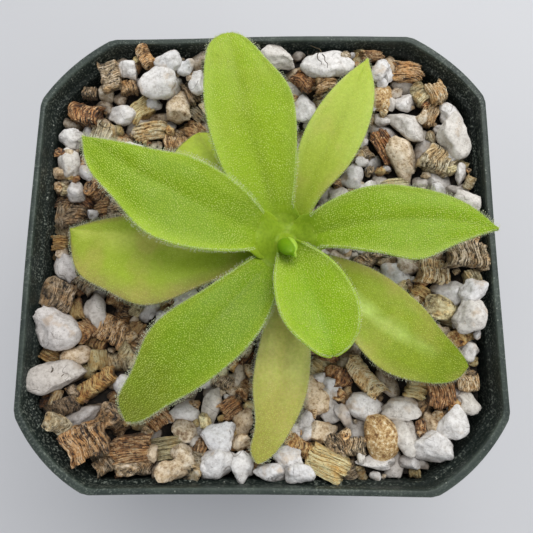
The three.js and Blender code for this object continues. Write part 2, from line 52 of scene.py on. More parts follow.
# ---- the pot ----
# A square trade pot with cut corners, injection-moulded in dark green polypropylene about a millimetre
# thick: a foot ring, tapered walls, a stiffening collar under the rim, a ledge inside it and drain holes.
MM = 0.001
RIM_HALF, FOOT_HALF, POT_HEIGHT, WALL = 43.0, 31.0, 80.0, 1.0
COLLAR_FOOT, COLLAR_STEP = 71.0, 1.1
CORNER_CUT, CORNER_ROUND, CORNER_LINE = 0.31, 0.021, 1.69  # shares of the half width
CORNER_SWELL, FRONT_SINK, WALL_BOW = 0.026, 0.42, 0.45
NOISE_SEED, DRAIN_RADIUS = 269, 4.5
DRAIN_PLACES = ((0, 0), (17, 17), (-17, 17), (-17, -17), (17, -17))


def select_only(*pieces):
    """Selects these objects and nothing else; the first becomes the active one."""
    bpy.ops.object.select_all(action="DESELECT")
    for piece in pieces:
        piece.select_set(True)
    bpy.context.view_layer.objects.active = pieces[0]


def started(name, primitive, **settings):
    """A new primitive, alone in the selection, with its place and turn in its mesh."""
    bpy.ops.object.select_all(action="DESELECT")
    primitive(**settings)
    piece = bpy.context.object
    piece.name = name
    bpy.ops.object.transform_apply()
    return piece


def apply_modifier(piece, kind, **settings):
    """Puts a modifier with these settings on a piece and applies it."""
    modifier = piece.modifiers.new(kind.lower(), kind)
    for key, value in settings.items():
        setattr(modifier, key, value)
    bpy.context.view_layer.objects.active = piece
    bpy.ops.object.modifier_apply(modifier=modifier.name)


def cut_corner_outline(name, half, height, straight_cuts):
    """A closed line of edges, open in edit mode: a square of that half width with cut and rounded corners."""
    piece = started(name, bpy.ops.mesh.primitive_plane_add, size=2 * half * MM, location=(0, 0, height * MM))
    bpy.ops.object.mode_set(mode="EDIT")
    for share, segments in ((CORNER_CUT, 1), (CORNER_ROUND, 4)):
        bpy.ops.mesh.select_all(action="SELECT")
        bpy.ops.mesh.bevel(
            offset=share * half * MM, offset_type="OFFSET", segments=segments, affect="VERTICES", clamp_overlap=False
        )
    bpy.ops.mesh.select_all(action="SELECT")
    bpy.ops.mesh.delete(type="ONLY_FACE")
    bpy.ops.mesh.select_all(action="DESELECT")
    bpy.ops.mesh.select_mode(type="EDGE")
    bpy.ops.object.mode_set(mode="OBJECT")
    for edge in piece.data.edges:
        first, second = (piece.data.vertices[i].co for i in edge.vertices)
        edge.select = (first - second).length > 0.1 * half * MM
    bpy.ops.object.mode_set(mode="EDIT")
    bpy.ops.mesh.subdivide(number_cuts=straight_cuts)
    bpy.ops.mesh.select_all(action="SELECT")
    return piece


def raise_outline(steps):
    """Extrudes the selected closed line through steps of (half width, height)."""
    for (half, height), (next_half, next_height) in zip(steps, steps[1:]):
        bpy.ops.mesh.extrude_edges_move(TRANSFORM_OT_translate={"value": (0, 0, (next_height - height) * MM)})
        scale = next_half / half
        bpy.ops.transform.resize(value=(scale, scale, 1), center_override=(0, 0, 0))


def close_ends(pointed=True):
    """Closes both ends of a raised outline, turns its faces outwards and leaves edit mode."""
    bpy.ops.mesh.edge_face_add()
    if pointed:
        bpy.ops.mesh.poke()
    bpy.ops.mesh.select_all(action="DESELECT")
    bpy.ops.mesh.select_non_manifold()
    bpy.ops.mesh.edge_face_add()
    bpy.ops.mesh.select_all(action="SELECT")
    bpy.ops.mesh.normals_make_consistent(inside=False)
    bpy.ops.object.mode_set(mode="OBJECT")


def outer_half(height):
    return FOOT_HALF + (RIM_HALF - FOOT_HALF - COLLAR_STEP) * height / COLLAR_FOOT


def inner_half(height):
    return outer_half(min(height, COLLAR_FOOT)) - WALL


def ring_half(x, y):
    """The half width of the pot-shaped ring that goes through a point."""
    return max(abs(x), abs(y), (abs(x) + abs(y)) / CORNER_LINE)


def corner_swell(x, y, half):
    """How far the middle of a cut corner stands out, as a factor on a point's distance from the pot's axis."""
    ring = ring_half(x, y) + 1e-6
    near_wall = min(max((ring / half - 0.85) / 0.1, 0), 1)
    return 1 + CORNER_SWELL * near_wall * max(0, 1 - (abs(abs(x) - abs(y)) / (CORNER_CUT * ring)) ** 2)


foot_ring = [(27.2, 1.2), (27.5, 0.25), (27.8, 0), (30.2, 0), (30.75, 0.2), (31.0, 0.7)]
outside = [(outer_half(z), z) for z in (8, 16, 24, 32, 40, 48, 56, 63, 69, COLLAR_FOOT)]
collar = [(42.25, 71.15), (42.5, 71.45), (42.6, 71.9), (42.75, 75.5), (42.95, 79.1)]
lip = [(42.92, 79.6), (42.75, 79.9), (42.5, 80), (42.1, 80), (41.85, 79.9), (41.7, 79.6), (41.66, 79.1)]
ledge = [(41.6, 77.2), (41.45, 76.75), (41.1, 76.4), (40.98, 75.9)]
inside = [(inner_half(z), z) for z in (COLLAR_FOOT, 66, 60, 48, 32, 16, 5)]
floor_edge = [(inner_half(3) - 0.3, 3.0), (inner_half(2.8) - 1.0, 2.8)]
pot_profile = foot_ring + outside + collar + lip + ledge + inside + floor_edge

pot = cut_corner_outline("pot_shell", *pot_profile[0], straight_cuts=14)
raise_outline(pot_profile)
close_ends(pointed=False)
for x, y in DRAIN_PLACES:
    drill = started(
        "drill",
        bpy.ops.mesh.primitive_cylinder_add,
        vertices=32,
        radius=DRAIN_RADIUS * MM,
        depth=8 * MM,
        location=(x * MM, y * MM, 2 * MM),
    )
    apply_modifier(pot, "BOOLEAN", operation="DIFFERENCE", object=drill, solver="EXACT")
    bpy.data.objects.remove(drill)
# The vector noise starts from the clock unless it is given a seed.
noise.seed_set(NOISE_SEED)
inner = pot.data.attributes.new("inner", "FLOAT", "POINT")
for vertex in pot.data.vertices:
    x, y, z = vertex.co / MM
    shell = 42.2 if z > 76 else 41.6 if z > 70.9 else outer_half(z) - 0.5
    inner.data[vertex.index].value = 0.35 if z > 79.5 else float(ring_half(x, y) < shell)
    # The cut corners swell out a little, the front wall has sunk in, and the whole thin wall is not quite true.
    swell = corner_swell(x, y, outer_half(z))
    vertex.co = Vector((x * swell, y * swell, z)) * MM
    rise = (z / POT_HEIGHT) ** 2
    vertex.co.y += FRONT_SINK * MM * rise * (y / RIM_HALF) ** 2 * (y < 0)
    bow = noise.noise_vector(vertex.co / 0.03 + Vector((3, 7, 1))) * WALL_BOW * MM * rise
    vertex.co += Vector((bow.x, bow.y, bow.z * 0.5))
select_only(pot)
bpy.ops.object.shade_smooth_by_angle(angle=math.radians(40))


def linear(screen_colour):
    """A screen colour (red, green, blue) of 0 to 255 as the linear colour that the shaders take."""
    shares = [value / 255 for value in screen_colour]
    return (*(v / 12.92 if v <= 0.04045 else ((v + 0.055) / 1.055) ** 2.4 for v in shares), 1.0)


class Finish:
    """A material in the making. Sizes are in millimetres, and a colour is an output or a screen colour."""

    def __init__(self, name, **sockets):
        self.material = bpy.data.materials.new(name)
        self.material.use_nodes = True
        self.tree = self.material.node_tree
        self.shader = self.tree.nodes["Principled BSDF"]
        for socket, value in sockets.items():
            self.shader.inputs[socket.replace("_", " ").title().replace("Ior", "IOR")].default_value = value
        self.place = self.add("TexCoord").outputs["Object"]

    def add(self, kind, inputs=None, **settings):
        """Adds a node; inputs are values or the outputs that feed them."""
        node = self.tree.nodes.new("ShaderNode" + kind)
        for key, value in settings.items():
            setattr(node, key, value)
        for key, value in (inputs or {}).items():
            if isinstance(value, bpy.types.NodeSocket):
                self.tree.links.new(value, node.inputs[key])
            else:
                node.inputs[key].default_value = value
        return node

    def feed(self, **sockets):
        """Feeds sockets of the shader."""
        for socket, source in sockets.items():
            self.tree.links.new(source, self.shader.inputs[socket.replace("_", " ").title()])

    def attribute(self, name, output="Fac"):
        return self.add("Attribute", attribute_name=name).outputs[output]

    def axes(self, vector=None):
        """The x, y and z of a vector, or of the place."""
        return self.add("SeparateXYZ", {"Vector": vector or self.place}).outputs[:3]

    def noise(self, size, detail=3.0, roughness=0.5):
        """Noise whose blotches are about that size across."""
        inputs = {"Vector": self.place, "Scale": 0.5 / (size * MM), "Detail": detail, "Roughness": roughness}
        return self.add("TexNoise", inputs).outputs["Fac"]

    def cells(self, scale, randomness=1.0):
        """Small random cells: the distance from the middle of each, and its own chance."""
        cells = self.add("TexVoronoi", {"Vector": self.place, "Scale": scale, "Randomness": randomness}).outputs
        return cells["Distance"], self.add("SeparateColor", {"Color": cells["Color"]}).outputs["Red"]

    def maths(self, operation, *values):
        return self.add("Math", dict(enumerate(values)), operation=operation).outputs[0]

    def plus(self, first, second):
        return self.maths("ADD", first, second)

    def times(self, first, *others):
        for other in others:
            first = self.maths("MULTIPLY", first, other)
        return first

    def ramp(self, factor, *stops):
        """A ramp of (position, value) stops, each value a share or a screen colour."""
        node = self.add("ValToRGB", {"Fac": factor})
        elements = node.color_ramp.elements
        while len(elements) < len(stops):
            elements.new(0.5)
        for element, (position, value) in zip(elements, stops):
            element.position = position
            element.color = linear(value) if isinstance(value, tuple) else (value, value, value, 1)
        return node.outputs["Color"]

    def mix(self, factor, first, second, blend="MIX"):
        """Two colours mixed by a factor."""
        first, second = (linear(value) if isinstance(value, tuple) else value for value in (first, second))
        return self.add("Mix", {0: factor, 6: first, 7: second}, data_type="RGBA", blend_type=blend).outputs[2]

    def tinted(self, first, second):
        """One colour seen through another."""
        return self.mix(1.0, first, second, "MULTIPLY")

    def bump(self, *layers):
        """Bump layers of (height, strength, depth) on the shader's normal."""
        normal = {}
        for height, strength, depth in layers:
            inputs = {"Height": height, "Strength": strength, "Distance": depth * MM, **normal}
            normal = {"Normal": self.add("Bump", inputs).outputs["Normal"]}
        self.feed(normal=normal["Normal"])


plastic = Finish("pot_plastic", roughness=0.5, ior=1.47, specular_ior_level=0.4)
inner_face = plastic.attribute("inner")
dusty = plastic.maths("MULTIPLY_ADD", inner_face, 0.85, 0.15)
base = plastic.ramp(plastic.noise(9, 4), (0.3, (33, 43, 40)), (0.7, (43, 54, 50)))
# Painted shade: the inside wall below the lip is darkened towards near-black, for the shade down inside the pot.
level = plastic.times(plastic.axes()[2], 10.0)
painted_shade_inside = plastic.times(plastic.ramp(level, (0.765, 1.0), (0.797, 0.0)), inner_face, 0.75)
base = plastic.mix(painted_shade_inside, base, (16, 23, 21))
haze = plastic.ramp(plastic.noise(0.2, 3, 0.6), (0.52, 0.0), (0.64, 1.0))
haze_patches = plastic.ramp(plastic.noise(7, 3), (0.4, 0.2), (0.62, 0.85))
base = plastic.mix(plastic.times(haze, haze_patches, dusty), base, (146, 154, 143))
speck, speck_chance = plastic.cells(1500.0)
speck = plastic.ramp(speck, (0.1, 1.0), (0.24, 0.0))
speck_chance = plastic.ramp(speck_chance, (0.82, 0.0), (0.95, 1.0))
base = plastic.mix(plastic.times(speck, speck_chance, dusty), base, (196, 200, 188))
# Painted highlight: sharp edges are painted a paler green, broken up by noise, for the thin lines of light along the
# rim's edges.
edges = plastic.ramp(plastic.add("NewGeometry").outputs["Pointiness"], (0.52, 0.0), (0.6, 0.7))
painted_edge_highlight = plastic.times(edges, plastic.ramp(plastic.noise(1.5, 4), (0.38, 0.3), (0.6, 1.0)))
gloss = plastic.ramp(plastic.noise(2, 4), (0.3, 0.45), (0.7, 0.55))
plastic.feed(base_color=plastic.mix(painted_edge_highlight, base, (124, 138, 122)), roughness=gloss)
plastic.bump((plastic.noise(0.22), 0.3, 0.06), (plastic.noise(2.5), 0.1, 0.2))
pot.data.materials.append(plastic.material)
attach(pot, "root")
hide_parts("pot")


# ---- the bed of the potting mix ----
# The mix fills the pot to a few millimetres under the rim. Below the coarse grains it is a crumb of broken
# perlite and vermiculite, which has sunk in one corner where it was watered. Its near-black colour is painted
# shade, for the shadow deep in the gaps between the grains.
BED_MIDDLE, BED_BANKED, BED_FLAT, BED_HOLLOW, BED_BANK = 71.6, 3.6, 0.45, 1.8, 2.1
CROWN_X, CROWN_Y, CROWN_RADIUS = 4.8, 1.2, 2.6


def snug_half(height):
    return inner_half(height) - 0.3


def smooth_step(value, low, high):
    share = min(max((value - low) / (high - low), 0), 1)
    return share * share * (3 - 2 * share)


def bed_height(x, y):
    """Flat in the middle, banked up to the wall, most at the back and right, and sunk a little on the left."""
    ring = ring_half(x, y) / snug_half(COLLAR_FOOT)
    hollow = BED_HOLLOW * (1 - smooth_step(math.hypot(x + 42, y - 4), 0, 22))
    back = smooth_step(y, 30, 38) * smooth_step(x, -34, -28) * (1 - smooth_step(x, 24, 30))
    right = smooth_step(x, 33, 39) * smooth_step(y, -19, -13) * (1 - smooth_step(y, 20, 27))
    return BED_MIDDLE + BED_BANKED * smooth_step(ring, BED_FLAT, 1) - hollow + BED_BANK * max(back, right)


bed_profile = [(snug_half(3.1), 3.1), (snug_half(40), 40.0), (snug_half(65.6), 65.6), (snug_half(70), 70.0)]
bed_shares = (0.98, 0.93, 0.88, 0.8, 0.7, 0.6, 0.5, 0.4, 0.3, 0.2, 0.1)
bed_profile += [(snug_half(70) * share, BED_MIDDLE) for share in bed_shares]
bed = cut_corner_outline("mix_bed", *bed_profile[0], straight_cuts=22)
raise_outline(bed_profile)
close_ends()
for vertex in bed.data.vertices:
    x, y, z = vertex.co / MM
    swell = corner_swell(x, y, snug_half(z))
    vertex.co.x, vertex.co.y = vertex.co.x * swell, vertex.co.y * swell
    if z > 71:
        lumps = noise.noise(Vector((x, y, 0)) / 2.2) * 0.7 + noise.noise(Vector((x, y, 5)) / 6) * 0.6
        vertex.co.z = (bed_height(x, y) + lumps - 1.0) * MM
bpy.ops.object.shade_smooth()

# Painted shade: the bed is coloured near-black for the shadow in the gaps between the grains.
gap_shade_crumb = Finish("mix_crumb", roughness=0.9)
crumbly = gap_shade_crumb.noise(0.8, 5, 0.7)
gap_shade_crumb.feed(base_color=gap_shade_crumb.ramp(crumbly, (0.35, (14, 11, 8)), (0.55, (34, 27, 20)), (0.7, (84, 70, 54))))
gap_shade_crumb.bump((crumbly, 0.9, 0.8))
bed.data.materials.append(gap_shade_crumb.material)
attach(bed, "root")
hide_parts("potting_mix")

# ---- the layout of the grains ----
# The coarse grains lie on the bed as they fell: x, y, z, length, width, turn in degrees and kind.
# Kinds: w white perlite, c cream stained perlite, s straw, b brown and g grey vermiculite, o tan pebble.
LAID_GRAINS = """
-22.8 39.4 79 5.3 3.2 -60 s|-18.4 38.4 79 5.6 5 0 w|-20 34.8 77.5 9 7.4 20 w|-15 37.5 78 3.9 3.4 0 w
-26.7 37 78 3.9 3.9 0 w|-30 35.6 78 6.6 4.6 100 g|-34.5 33 76.5 3.2 2.7 0 g|-35.5 29 75.5 7.4 4.8 -15 b
-26.5 34.1 76.5 3.7 3.2 0 s|-24.5 30 74.5 6.4 4.2 45 s|-31.3 33.2 76 3.9 3.3 -30 c|-28.5 29 74.8 7 5 10 w
-22.5 26 73.5 7.4 4.2 5 s|-16.9 30.7 75 6.9 5.3 -80 c|-21.8 31.4 75 3.4 2.8 0 w|-14.3 33.4 75.5 5.8 2.7 -55 g
-12.7 34.8 77 5.6 3.9 -80 w|-13 29.5 73.5 4.2 2.7 -45 g|-38 23.5 75.5 5 4.5 0 w|-38.3 18.3 75.5 6.7 4.5 80 w
-35 17 74.5 4.5 2.8 -60 w|-37 13 74.5 5 3.9 -60 w|-33 13.5 74 5.3 4.2 -50 s|-33.1 8.2 74.5 2.2 2.2 0 w
3.5 38.9 79 7.3 5 -40 w|13.3 38.3 77.7 11.1 6.3 0 w|8.4 34.8 77 5.3 3.2 -35 b|12.8 34.4 77 5.3 4.2 10 s
8.5 30.2 74.5 7.8 5.6 -60 w|22.1 39.3 78.4 5.3 2.1 0 b|23.5 36.5 78 5 3.9 40 w|29.5 37 76.5 7.4 4.2 -8 s
23.9 32.2 75.5 6 5 80 o|28.5 34.5 75 5.6 2.8 -10 w|28.5 31 75 5.6 3.9 -10 w|32 32.5 75.5 5.3 3.7 -60 g
33.5 28.5 75 5.8 3.7 60 s|28.8 26.1 75.3 9 5 -30 w|24.5 28 74 3.4 2.8 0 w|25 22 73.5 8.5 4.2 -65 b
28.5 19.5 74 9.9 6.1 -65 c|23 24.5 73 2.2 2.2 0 w|21 21.5 72.5 4.2 2.7 -60 g|18.4 16.3 72.5 5.6 4.5 50 w
31.5 14.5 74 3.4 2.8 0 w|34.8 32.2 77 5.3 3.7 -70 s|38 28.5 76 5.6 3.9 -40 w|38.6 22.5 77.5 8.9 6.9 80 w
35.5 25 75 2.8 2.2 0 w|34.3 18.3 76 6.9 5.8 -30 g|38.3 15.2 77 4.5 2.2 80 w|39.8 13.3 77 3.2 2.1 60 g
40.7 9.4 78.5 5.6 5 0 w|34.5 12.5 75.8 3.4 2.8 0 w|37.8 -0.9 78.5 8 5.8 -10 g|32.5 -3.5 75 6.4 5.3 -15 s
28.5 -2 73.5 5.5 5 0 c|25.5 -4 73 6.2 5.6 -30 w|35.2 -7.6 76 7.3 5 -30 w|39.3 -7.8 78.5 5 5 0 w
38.3 -11.7 78.5 6.2 7.3 0 w|34.3 -11.1 75.5 9 5.3 -25 g|30 -7.5 74 4.2 3.7 -30 b|38.8 -4.8 77.5 3.2 2.7 0 g
19.5 -23 73 10.1 4.2 -50 s|19.5 -28.5 73.5 7.8 5 -25 w|25.5 -28.5 74.5 7.3 4.5 0 w|26 -33.5 75 7.3 5 -70 w
22 -33.5 75 8.5 6.5 -80 o|28.5 -25 74.5 4.8 4.2 -20 s|32.5 -26 75.5 5.3 5.8 0 b|37.5 -24 75.5 4.2 3.7 0 s
37 -27.5 75.5 5 4.5 -30 w|34.5 -31.5 76.5 7.3 5 55 w|30.5 -31 75 4.4 3.9 -60 c|32.5 -30 75 3.2 2.7 0 s
30.5 -35 76.5 7.8 5.6 -20 w|20.5 -37.5 75 7.3 2.8 -5 w|26.5 -37.5 75 3.9 2.8 0 w|36.7 -15.6 76 5.8 3.2 20 b
38 -18 75.5 3.9 3.9 60 w|39 -20 75 2.1 1.6 60 s|-14 -29 73.5 6.2 4.5 0 w|-9 -28.5 73.5 7.8 3.9 70 w
-7 -24 72.5 4.8 3.2 -20 g|-4 -22.5 72 4.4 2.8 70 c|-3 -25.5 72.5 4.2 3.2 60 b|-5.5 -28.5 73.5 4.8 4.2 30 b
-3 -31.5 74 6.1 3.9 -80 c|-7.4 -33.4 75.5 6.2 5.6 0 w|-6.9 -37.8 76.5 6.7 5.6 0 w|-3.5 -34.4 75.5 3.9 3.3 0 c
-2.9 -38.3 76.5 5.6 3.9 -80 w|-9.4 -38.3 76.5 3.9 2.8 -60 w|5 -36.8 76.5 5.6 4.5 0 w|2 -39.5 76.4 6.2 3.9 -10 w
7 -39.3 77.5 5.6 3.9 -15 w|10 -26 73 7.7 5.5 -70 c|12.5 -26.5 73 5.6 2.8 -55 w|8 -31 74 4.5 3.4 60 w
15.5 -30 73.5 5.6 2.8 -65 w|11 -32.5 74.5 6.1 4.4 35 c|13.5 -34.5 75 4.2 3.7 -60 g|7 -34.9 75.5 6.9 3.7 -35 b
12 -37.9 76 8 5.3 -25 s|16.5 -35 75 5.3 3.7 0 g|14.5 -23 72.5 5.8 4.2 -15 b|15 -26.5 73 3.7 2.7 -30 b
13 -19 72 4.2 2.7 -20 b|-38.5 -14.5 76.5 9.5 7.9 -20 w|-37 -23 76.5 11.1 6.3 5 w|-34.5 -19 75 6.1 4.4 10 c
-31.5 -11 74 7.8 4.5 -75 w|-28 -14.5 73.5 6.9 5.8 -30 s|-30.5 -20 74 4.2 4.2 0 s|-30.5 -24.5 74.5 9.5 3.7 33 b
-33 -14.5 74.5 5.8 4.2 40 b|-35 -10.5 74.5 4.8 2.7 -70 b|-38 -8 76.5 7.2 6.1 -30 g|-32 -30 75 7.3 3.9 35 w
-36 -28.5 75.5 6.9 3.7 15 g|-35.7 -31.3 78.5 5.3 3.7 -30 g|-31.8 -35.7 78.5 8 6.9 20 s|-26.5 -30.5 75 6.9 5.3 -40 g
-22.9 -35.4 76 8.5 5.3 5 b|-19.8 -36.3 76 3.9 3.3 0 c|-22.2 -38.8 76.5 6.9 2.7 0 g|-15.3 -38.8 77.5 6.1 3.9 0 c
-13.5 -32.5 74.5 5 4.4 0 c|-13.3 -36.8 76.5 5 3.9 -60 c|-11.4 -38.4 76 5.6 3.9 60 g|-29 -34.5 75.5 7.4 3.7 -70 g
-27.3 -38.4 76 4.2 3.2 20 g|-18.5 -30.5 74 5.3 4.2 30 b|-21.5 -31.5 74 4.2 2.1 0 g|-25 -19 73 5.8 3.2 -55 g
-24 -14 72.5 4.2 2.7 50 b|-22 -10.5 72 5 4.5 0 w|-28 -8.5 73 4.2 3.2 -20 b|-39.5 8 74 5.8 3.2 80 g
-36.5 8 74 4.8 4.2 0 g|-39 2.5 74.5 3.7 3.2 0 b|-37.5 -2.5 74 6.2 4.5 -60 w|-33.5 -5.5 74 4.8 3.7 -45 g
-35.5 -6.5 74 3.7 2.1 -40 b|16.5 9 71.5 2.8 2.2 0 w|-25.4 27.6 73.2 5.6 4.4 20 w|-18 34.6 74 5.4 4.2 -20 w"""
LAYOUT_SEED, COARSE_TRIES, DEEP_TRIES, FINE_TRIES = 20, 2000, 4000, 8000
REACH_OVER_LEDGE, LEDGE_HEIGHT = 41.4, 76.2


def dice(seed):
    """A seeded random number generator, so that the same grains always fall in the same places."""
    state = seed

    def roll():
        nonlocal state
        state = (state * 1664525 + 1013904223) & 0xFFFFFFFF
        return state / 4294967296

    return roll


def from_crown(x, y):
    return math.hypot(x - CROWN_X, y - CROWN_Y)


def from_grain(grain, x, y):
    return math.hypot(grain["x"] - x, grain["y"] - y)


def under_leaves(x, y):
    """The highest that a grain may lie without touching the leaves."""
    return 71.2 + 0.32 * from_crown(x, y)


def high_for(wide):
    return 0.6 + 0.65 * wide


def seated(x, y, z, long, wide, turn, kind):
    """A grain at a height of its own or sunk a little into the bed, and drawn in from the pot's wall."""
    high = high_for(wide)
    if z is None:
        z = min(bed_height(x, y) + 0.78 * high - 0.5, under_leaves(x, y)) - high / 2
    reach = (REACH_OVER_LEDGE if z > LEDGE_HEIGHT else snug_half(z)) - 0.16 * long - 0.3 * wide
    x, y = min(max(x, -reach), reach - 0.6), min(max(y, -reach), reach)
    over = abs(x) + abs(y) - reach * CORNER_LINE
    if over > 0:
        x -= math.copysign(over / 2, x)
        y -= math.copysign(over / 2, y)
    return {"x": x, "y": y, "z": z, "long": long, "wide": wide, "high": high, "turn": turn, "kind": kind}


def clear_of_crown(grain):
    return from_crown(grain["x"], grain["y"]) >= CROWN_RADIUS + 0.55 * grain["long"] + 1


def clear_of(others, grain, share, own):
    """Whether a grain keeps that share of both sizes, and a part of its own width, from the middles of the others."""
    return all(
        from_grain(g, grain["x"], grain["y"]) >= share * (g["long"] + g["wide"]) + own * grain["wide"] for g in others
    )


grains = []
for row in LAID_GRAINS.replace("\n", "|").split("|"):
    cells = row.split()
    if cells:
        grains.append(seated(*(float(cell) for cell in cells[:6]), cells[6]))
laid = len(grains)
roll = dice(LAYOUT_SEED)
for _ in range(COARSE_TRIES):
    wide = 3.8 + 2.2 * roll() ** 2
    long = wide * (1.1 + 0.5 * roll())
    x, y = (roll() - 0.5) * 86, (roll() - 0.5) * 86
    turn = roll() * 180
    grain = seated(x, y, None, long, wide, turn, "wwwcsbgg"[int(roll() * 8)])
    if clear_of_crown(grain) and clear_of(grains, grain, 0.2, 0.55):
        grains.append(grain)
coarse = len(grains)


def level_near(x, y):
    """The height of the coarse grains round a place, or of the bed where there are none."""
    near = [(from_grain(g, x, y), g["z"]) for g in grains[:coarse]]
    near = [(math.exp(-((gap / 3.5) ** 2)), z) for gap, z in near if gap < 8]
    weight = sum(share for share, _ in near)
    return (sum(share * z for share, z in near) + 0.3 * (bed_height(x, y) + 0.6)) / (weight + 0.3)


for step in range(DEEP_TRIES + FINE_TRIES):
    # The larger grains of this layer lie deeper, half under the coarse ones; the small ones fill what is left.
    deep = step < DEEP_TRIES
    wide = 3.2 + 1.6 * roll() if deep else 1.9 + 1.5 * roll() ** 1.3
    long = wide * (1.1 + 0.5 * roll())
    x, y = (roll() - 0.5) * 84, (roll() - 0.5) * 84
    level = level_near(x, y) - (1.3 if deep else 1.0) - 0.5 * roll()
    level = min(level, under_leaves(x, y) - high_for(wide) / 2)
    kinds = "wwwcwsgc" if x > 14 or y > 24 else "wwcsbgwg" if x > -12 else "gbscbgws"
    grain = seated(x, y, level, long, wide, roll() * 180, kinds[int(roll() * 8)])
    if clear_of_crown(grain) and clear_of(grains[:coarse], grain, 0.22, 0.14 if deep else 0.3):
        if all(from_grain(g, grain["x"], grain["y"]) >= 0.42 * (g["wide"] + wide) for g in grains[coarse:]):
            grains.append(grain)


def copy_laid(name, mesh, grain, lean, tone):
    """One grain: a mesh fitted to the grain's size, leant, turned and put in its place, with its tone and painted
    shade.
    """
    corners = np.empty(len(mesh.vertices) * 3)
    mesh.vertices.foreach_get("co", corners)
    corners = corners.reshape(-1, 3)
    low, high = corners.min(0), corners.max(0)
    sizes = np.array((grain["long"], grain["wide"], grain["high"])) * MM / (high - low)
    mesh.transform(Matrix.Translation(-Vector((low + high) / 2)))
    mesh.transform(Matrix.Diagonal((*sizes, 1)))
    turned = Euler((*lean, math.radians(grain["turn"]))).to_matrix().to_4x4()
    mesh.transform(Matrix.Translation(Vector((grain["x"], grain["y"], grain["z"])) * MM) @ turned)
    mesh.attributes.new("tone", "FLOAT", "POINT").data.foreach_set("value", [tone] * len(mesh.vertices))
    mesh.vertices.foreach_get("co", corners.reshape(-1))
    # Painted shade: the lower a point lies under the grains round it, the darker it is painted.
    level = min(level_near(grain["x"], grain["y"]), grain["z"] + (0.6 if grain["wide"] > 5 else 1.2))
    painted_gap_shade = np.clip((level + 1.3 - corners[:, 2] / MM) / 2.6, 0, 1)
    mesh.attributes.new("painted_gap_shade", "FLOAT", "POINT").data.foreach_set("value", painted_gap_shade)
    copy = bpy.data.objects.new(name, mesh)
    bpy.context.collection.objects.link(copy)
    return copy


def spread_copies(name, masters, chosen, finish, tumble, seed):
    """One object of grains, each a copy of a master, turned over if it may tumble."""
    roll = dice(seed)
    copies = []
    for grain in chosen:
        mesh = masters[int(roll() * len(masters))].data.copy()
        if tumble:
            mesh.transform(Euler([roll() * math.tau for _ in range(3)]).to_matrix().to_4x4())
        lean = ((roll() - 0.5) * 0.3, (roll() - 0.5) * 0.3)
        copies.append(copy_laid(name, mesh, grain, lean, roll()))
    select_only(*copies)
    bpy.ops.object.join()
    piece = bpy.context.object
    piece.name = name
    piece.data.materials.clear()
    piece.data.materials.append(finish.material)
    bpy.ops.object.shade_smooth_by_angle(angle=math.radians(50))
    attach(piece, "root")
    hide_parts("potting_mix")


def spread_kind(kind, name, finish, masters, plain, tumble, seeds):
    """The grains of one kind: the laid ones from the finer masters, and those between them from the plain ones."""
    on_top, between = ([g for g in part if g["kind"] == kind] for part in (grains[:laid], grains[laid:]))
    spread_copies(name, masters, on_top, finish, tumble, seeds[0])
    spread_copies(name + "_between", plain, between, finish, tumble, seeds[1])


# ---- the perlite ----
# Perlite is volcanic glass puffed up by heat: light, chalky white lumps, smooth and rounded where they
# swelled, flat where they broke, with fine pits. Some have taken up tannin and grit and are cream or tan.
noise_place = bpy.data.objects.new("noise_place", None)
bpy.context.collection.objects.link(noise_place)


def master_at(place, primitive, **settings):
    """A primitive a unit across, to be shaped by the noise at a place of its own."""
    noise_place.location = place
    bpy.context.view_layer.update()
    return started("master", primitive, radius=0.5, **settings)


def pushed(piece, kind, size, strength, middle=0.5, **settings):
    """Pushes a mesh in and out by a texture, with the blotch size in the mesh's own units."""
    texture = bpy.data.textures.new(kind.lower(), kind)
    texture.noise_scale = size
    for key, value in settings.items():
        setattr(texture, key, value)
    coordinates = {"texture_coords": "OBJECT", "texture_coords_object": noise_place}
    apply_modifier(piece, "DISPLACE", texture=texture, strength=strength, mid_level=middle, **coordinates)


def perlite_lump(index, cell):
    """A puffed lump, broken flat on two to four sides, in a skin of that cell size."""
    lump = master_at((3.7 * index, 1.3 * index, 0.9 * index), bpy.ops.mesh.primitive_ico_sphere_add, subdivisions=4)
    pushed(lump, "CLOUDS", 0.7, 0.62, noise_depth=0)
    roll = dice(index * 31 + 7)
    bpy.ops.object.mode_set(mode="EDIT")
    for _ in range(2 + index % 3):
        break_at = Vector((roll() - 0.5, roll() - 0.5, roll() - 0.5)).normalized()
        bpy.ops.mesh.select_all(action="SELECT")
        depth = 0.27 + 0.12 * roll()
        bpy.ops.mesh.bisect(plane_co=break_at * depth, plane_no=break_at, use_fill=True, clear_outer=True)
    bpy.ops.object.mode_set(mode="OBJECT")
    apply_modifier(lump, "REMESH", mode="VOXEL", voxel_size=cell)
    apply_modifier(lump, "SMOOTH", factor=0.5, iterations=int(0.2 / cell))
    pushed(lump, "VORONOI", 0.3, 0.09, 0.45, distance_metric="DISTANCE")
    pushed(lump, "CLOUDS", 0.1, 0.035, noise_depth=2)
    return lump


def gap_shaded_darker_left(finish, colours, shade):
    """Grain colours with painted shade low down between the grains, and darker towards the pot's left side."""
    # Painted shade: low down between the grains the colours are darkened, for the shade deep in the mix.
    colours = finish.mix(finish.attribute("painted_gap_shade"), colours, finish.tinted(colours, (122, 106, 88)))
    across, along, _ = (finish.maths("MULTIPLY_ADD", axis, 10.0, 0.5) for axis in finish.axes())
    # Darker towards the pot's left side, except at the back.
    left_side = finish.times(finish.ramp(across, (0.12, 1.0), (0.4, 0.0)), finish.ramp(along, (0.58, 1.0), (0.7, 0.0)))
    return finish.mix(left_side, colours, finish.tinted(colours, shade))


perlite_masters = [perlite_lump(i, 0.056) for i in range(9)]
plain_masters = [perlite_lump(i + 20, 0.09) for i in range(6)]

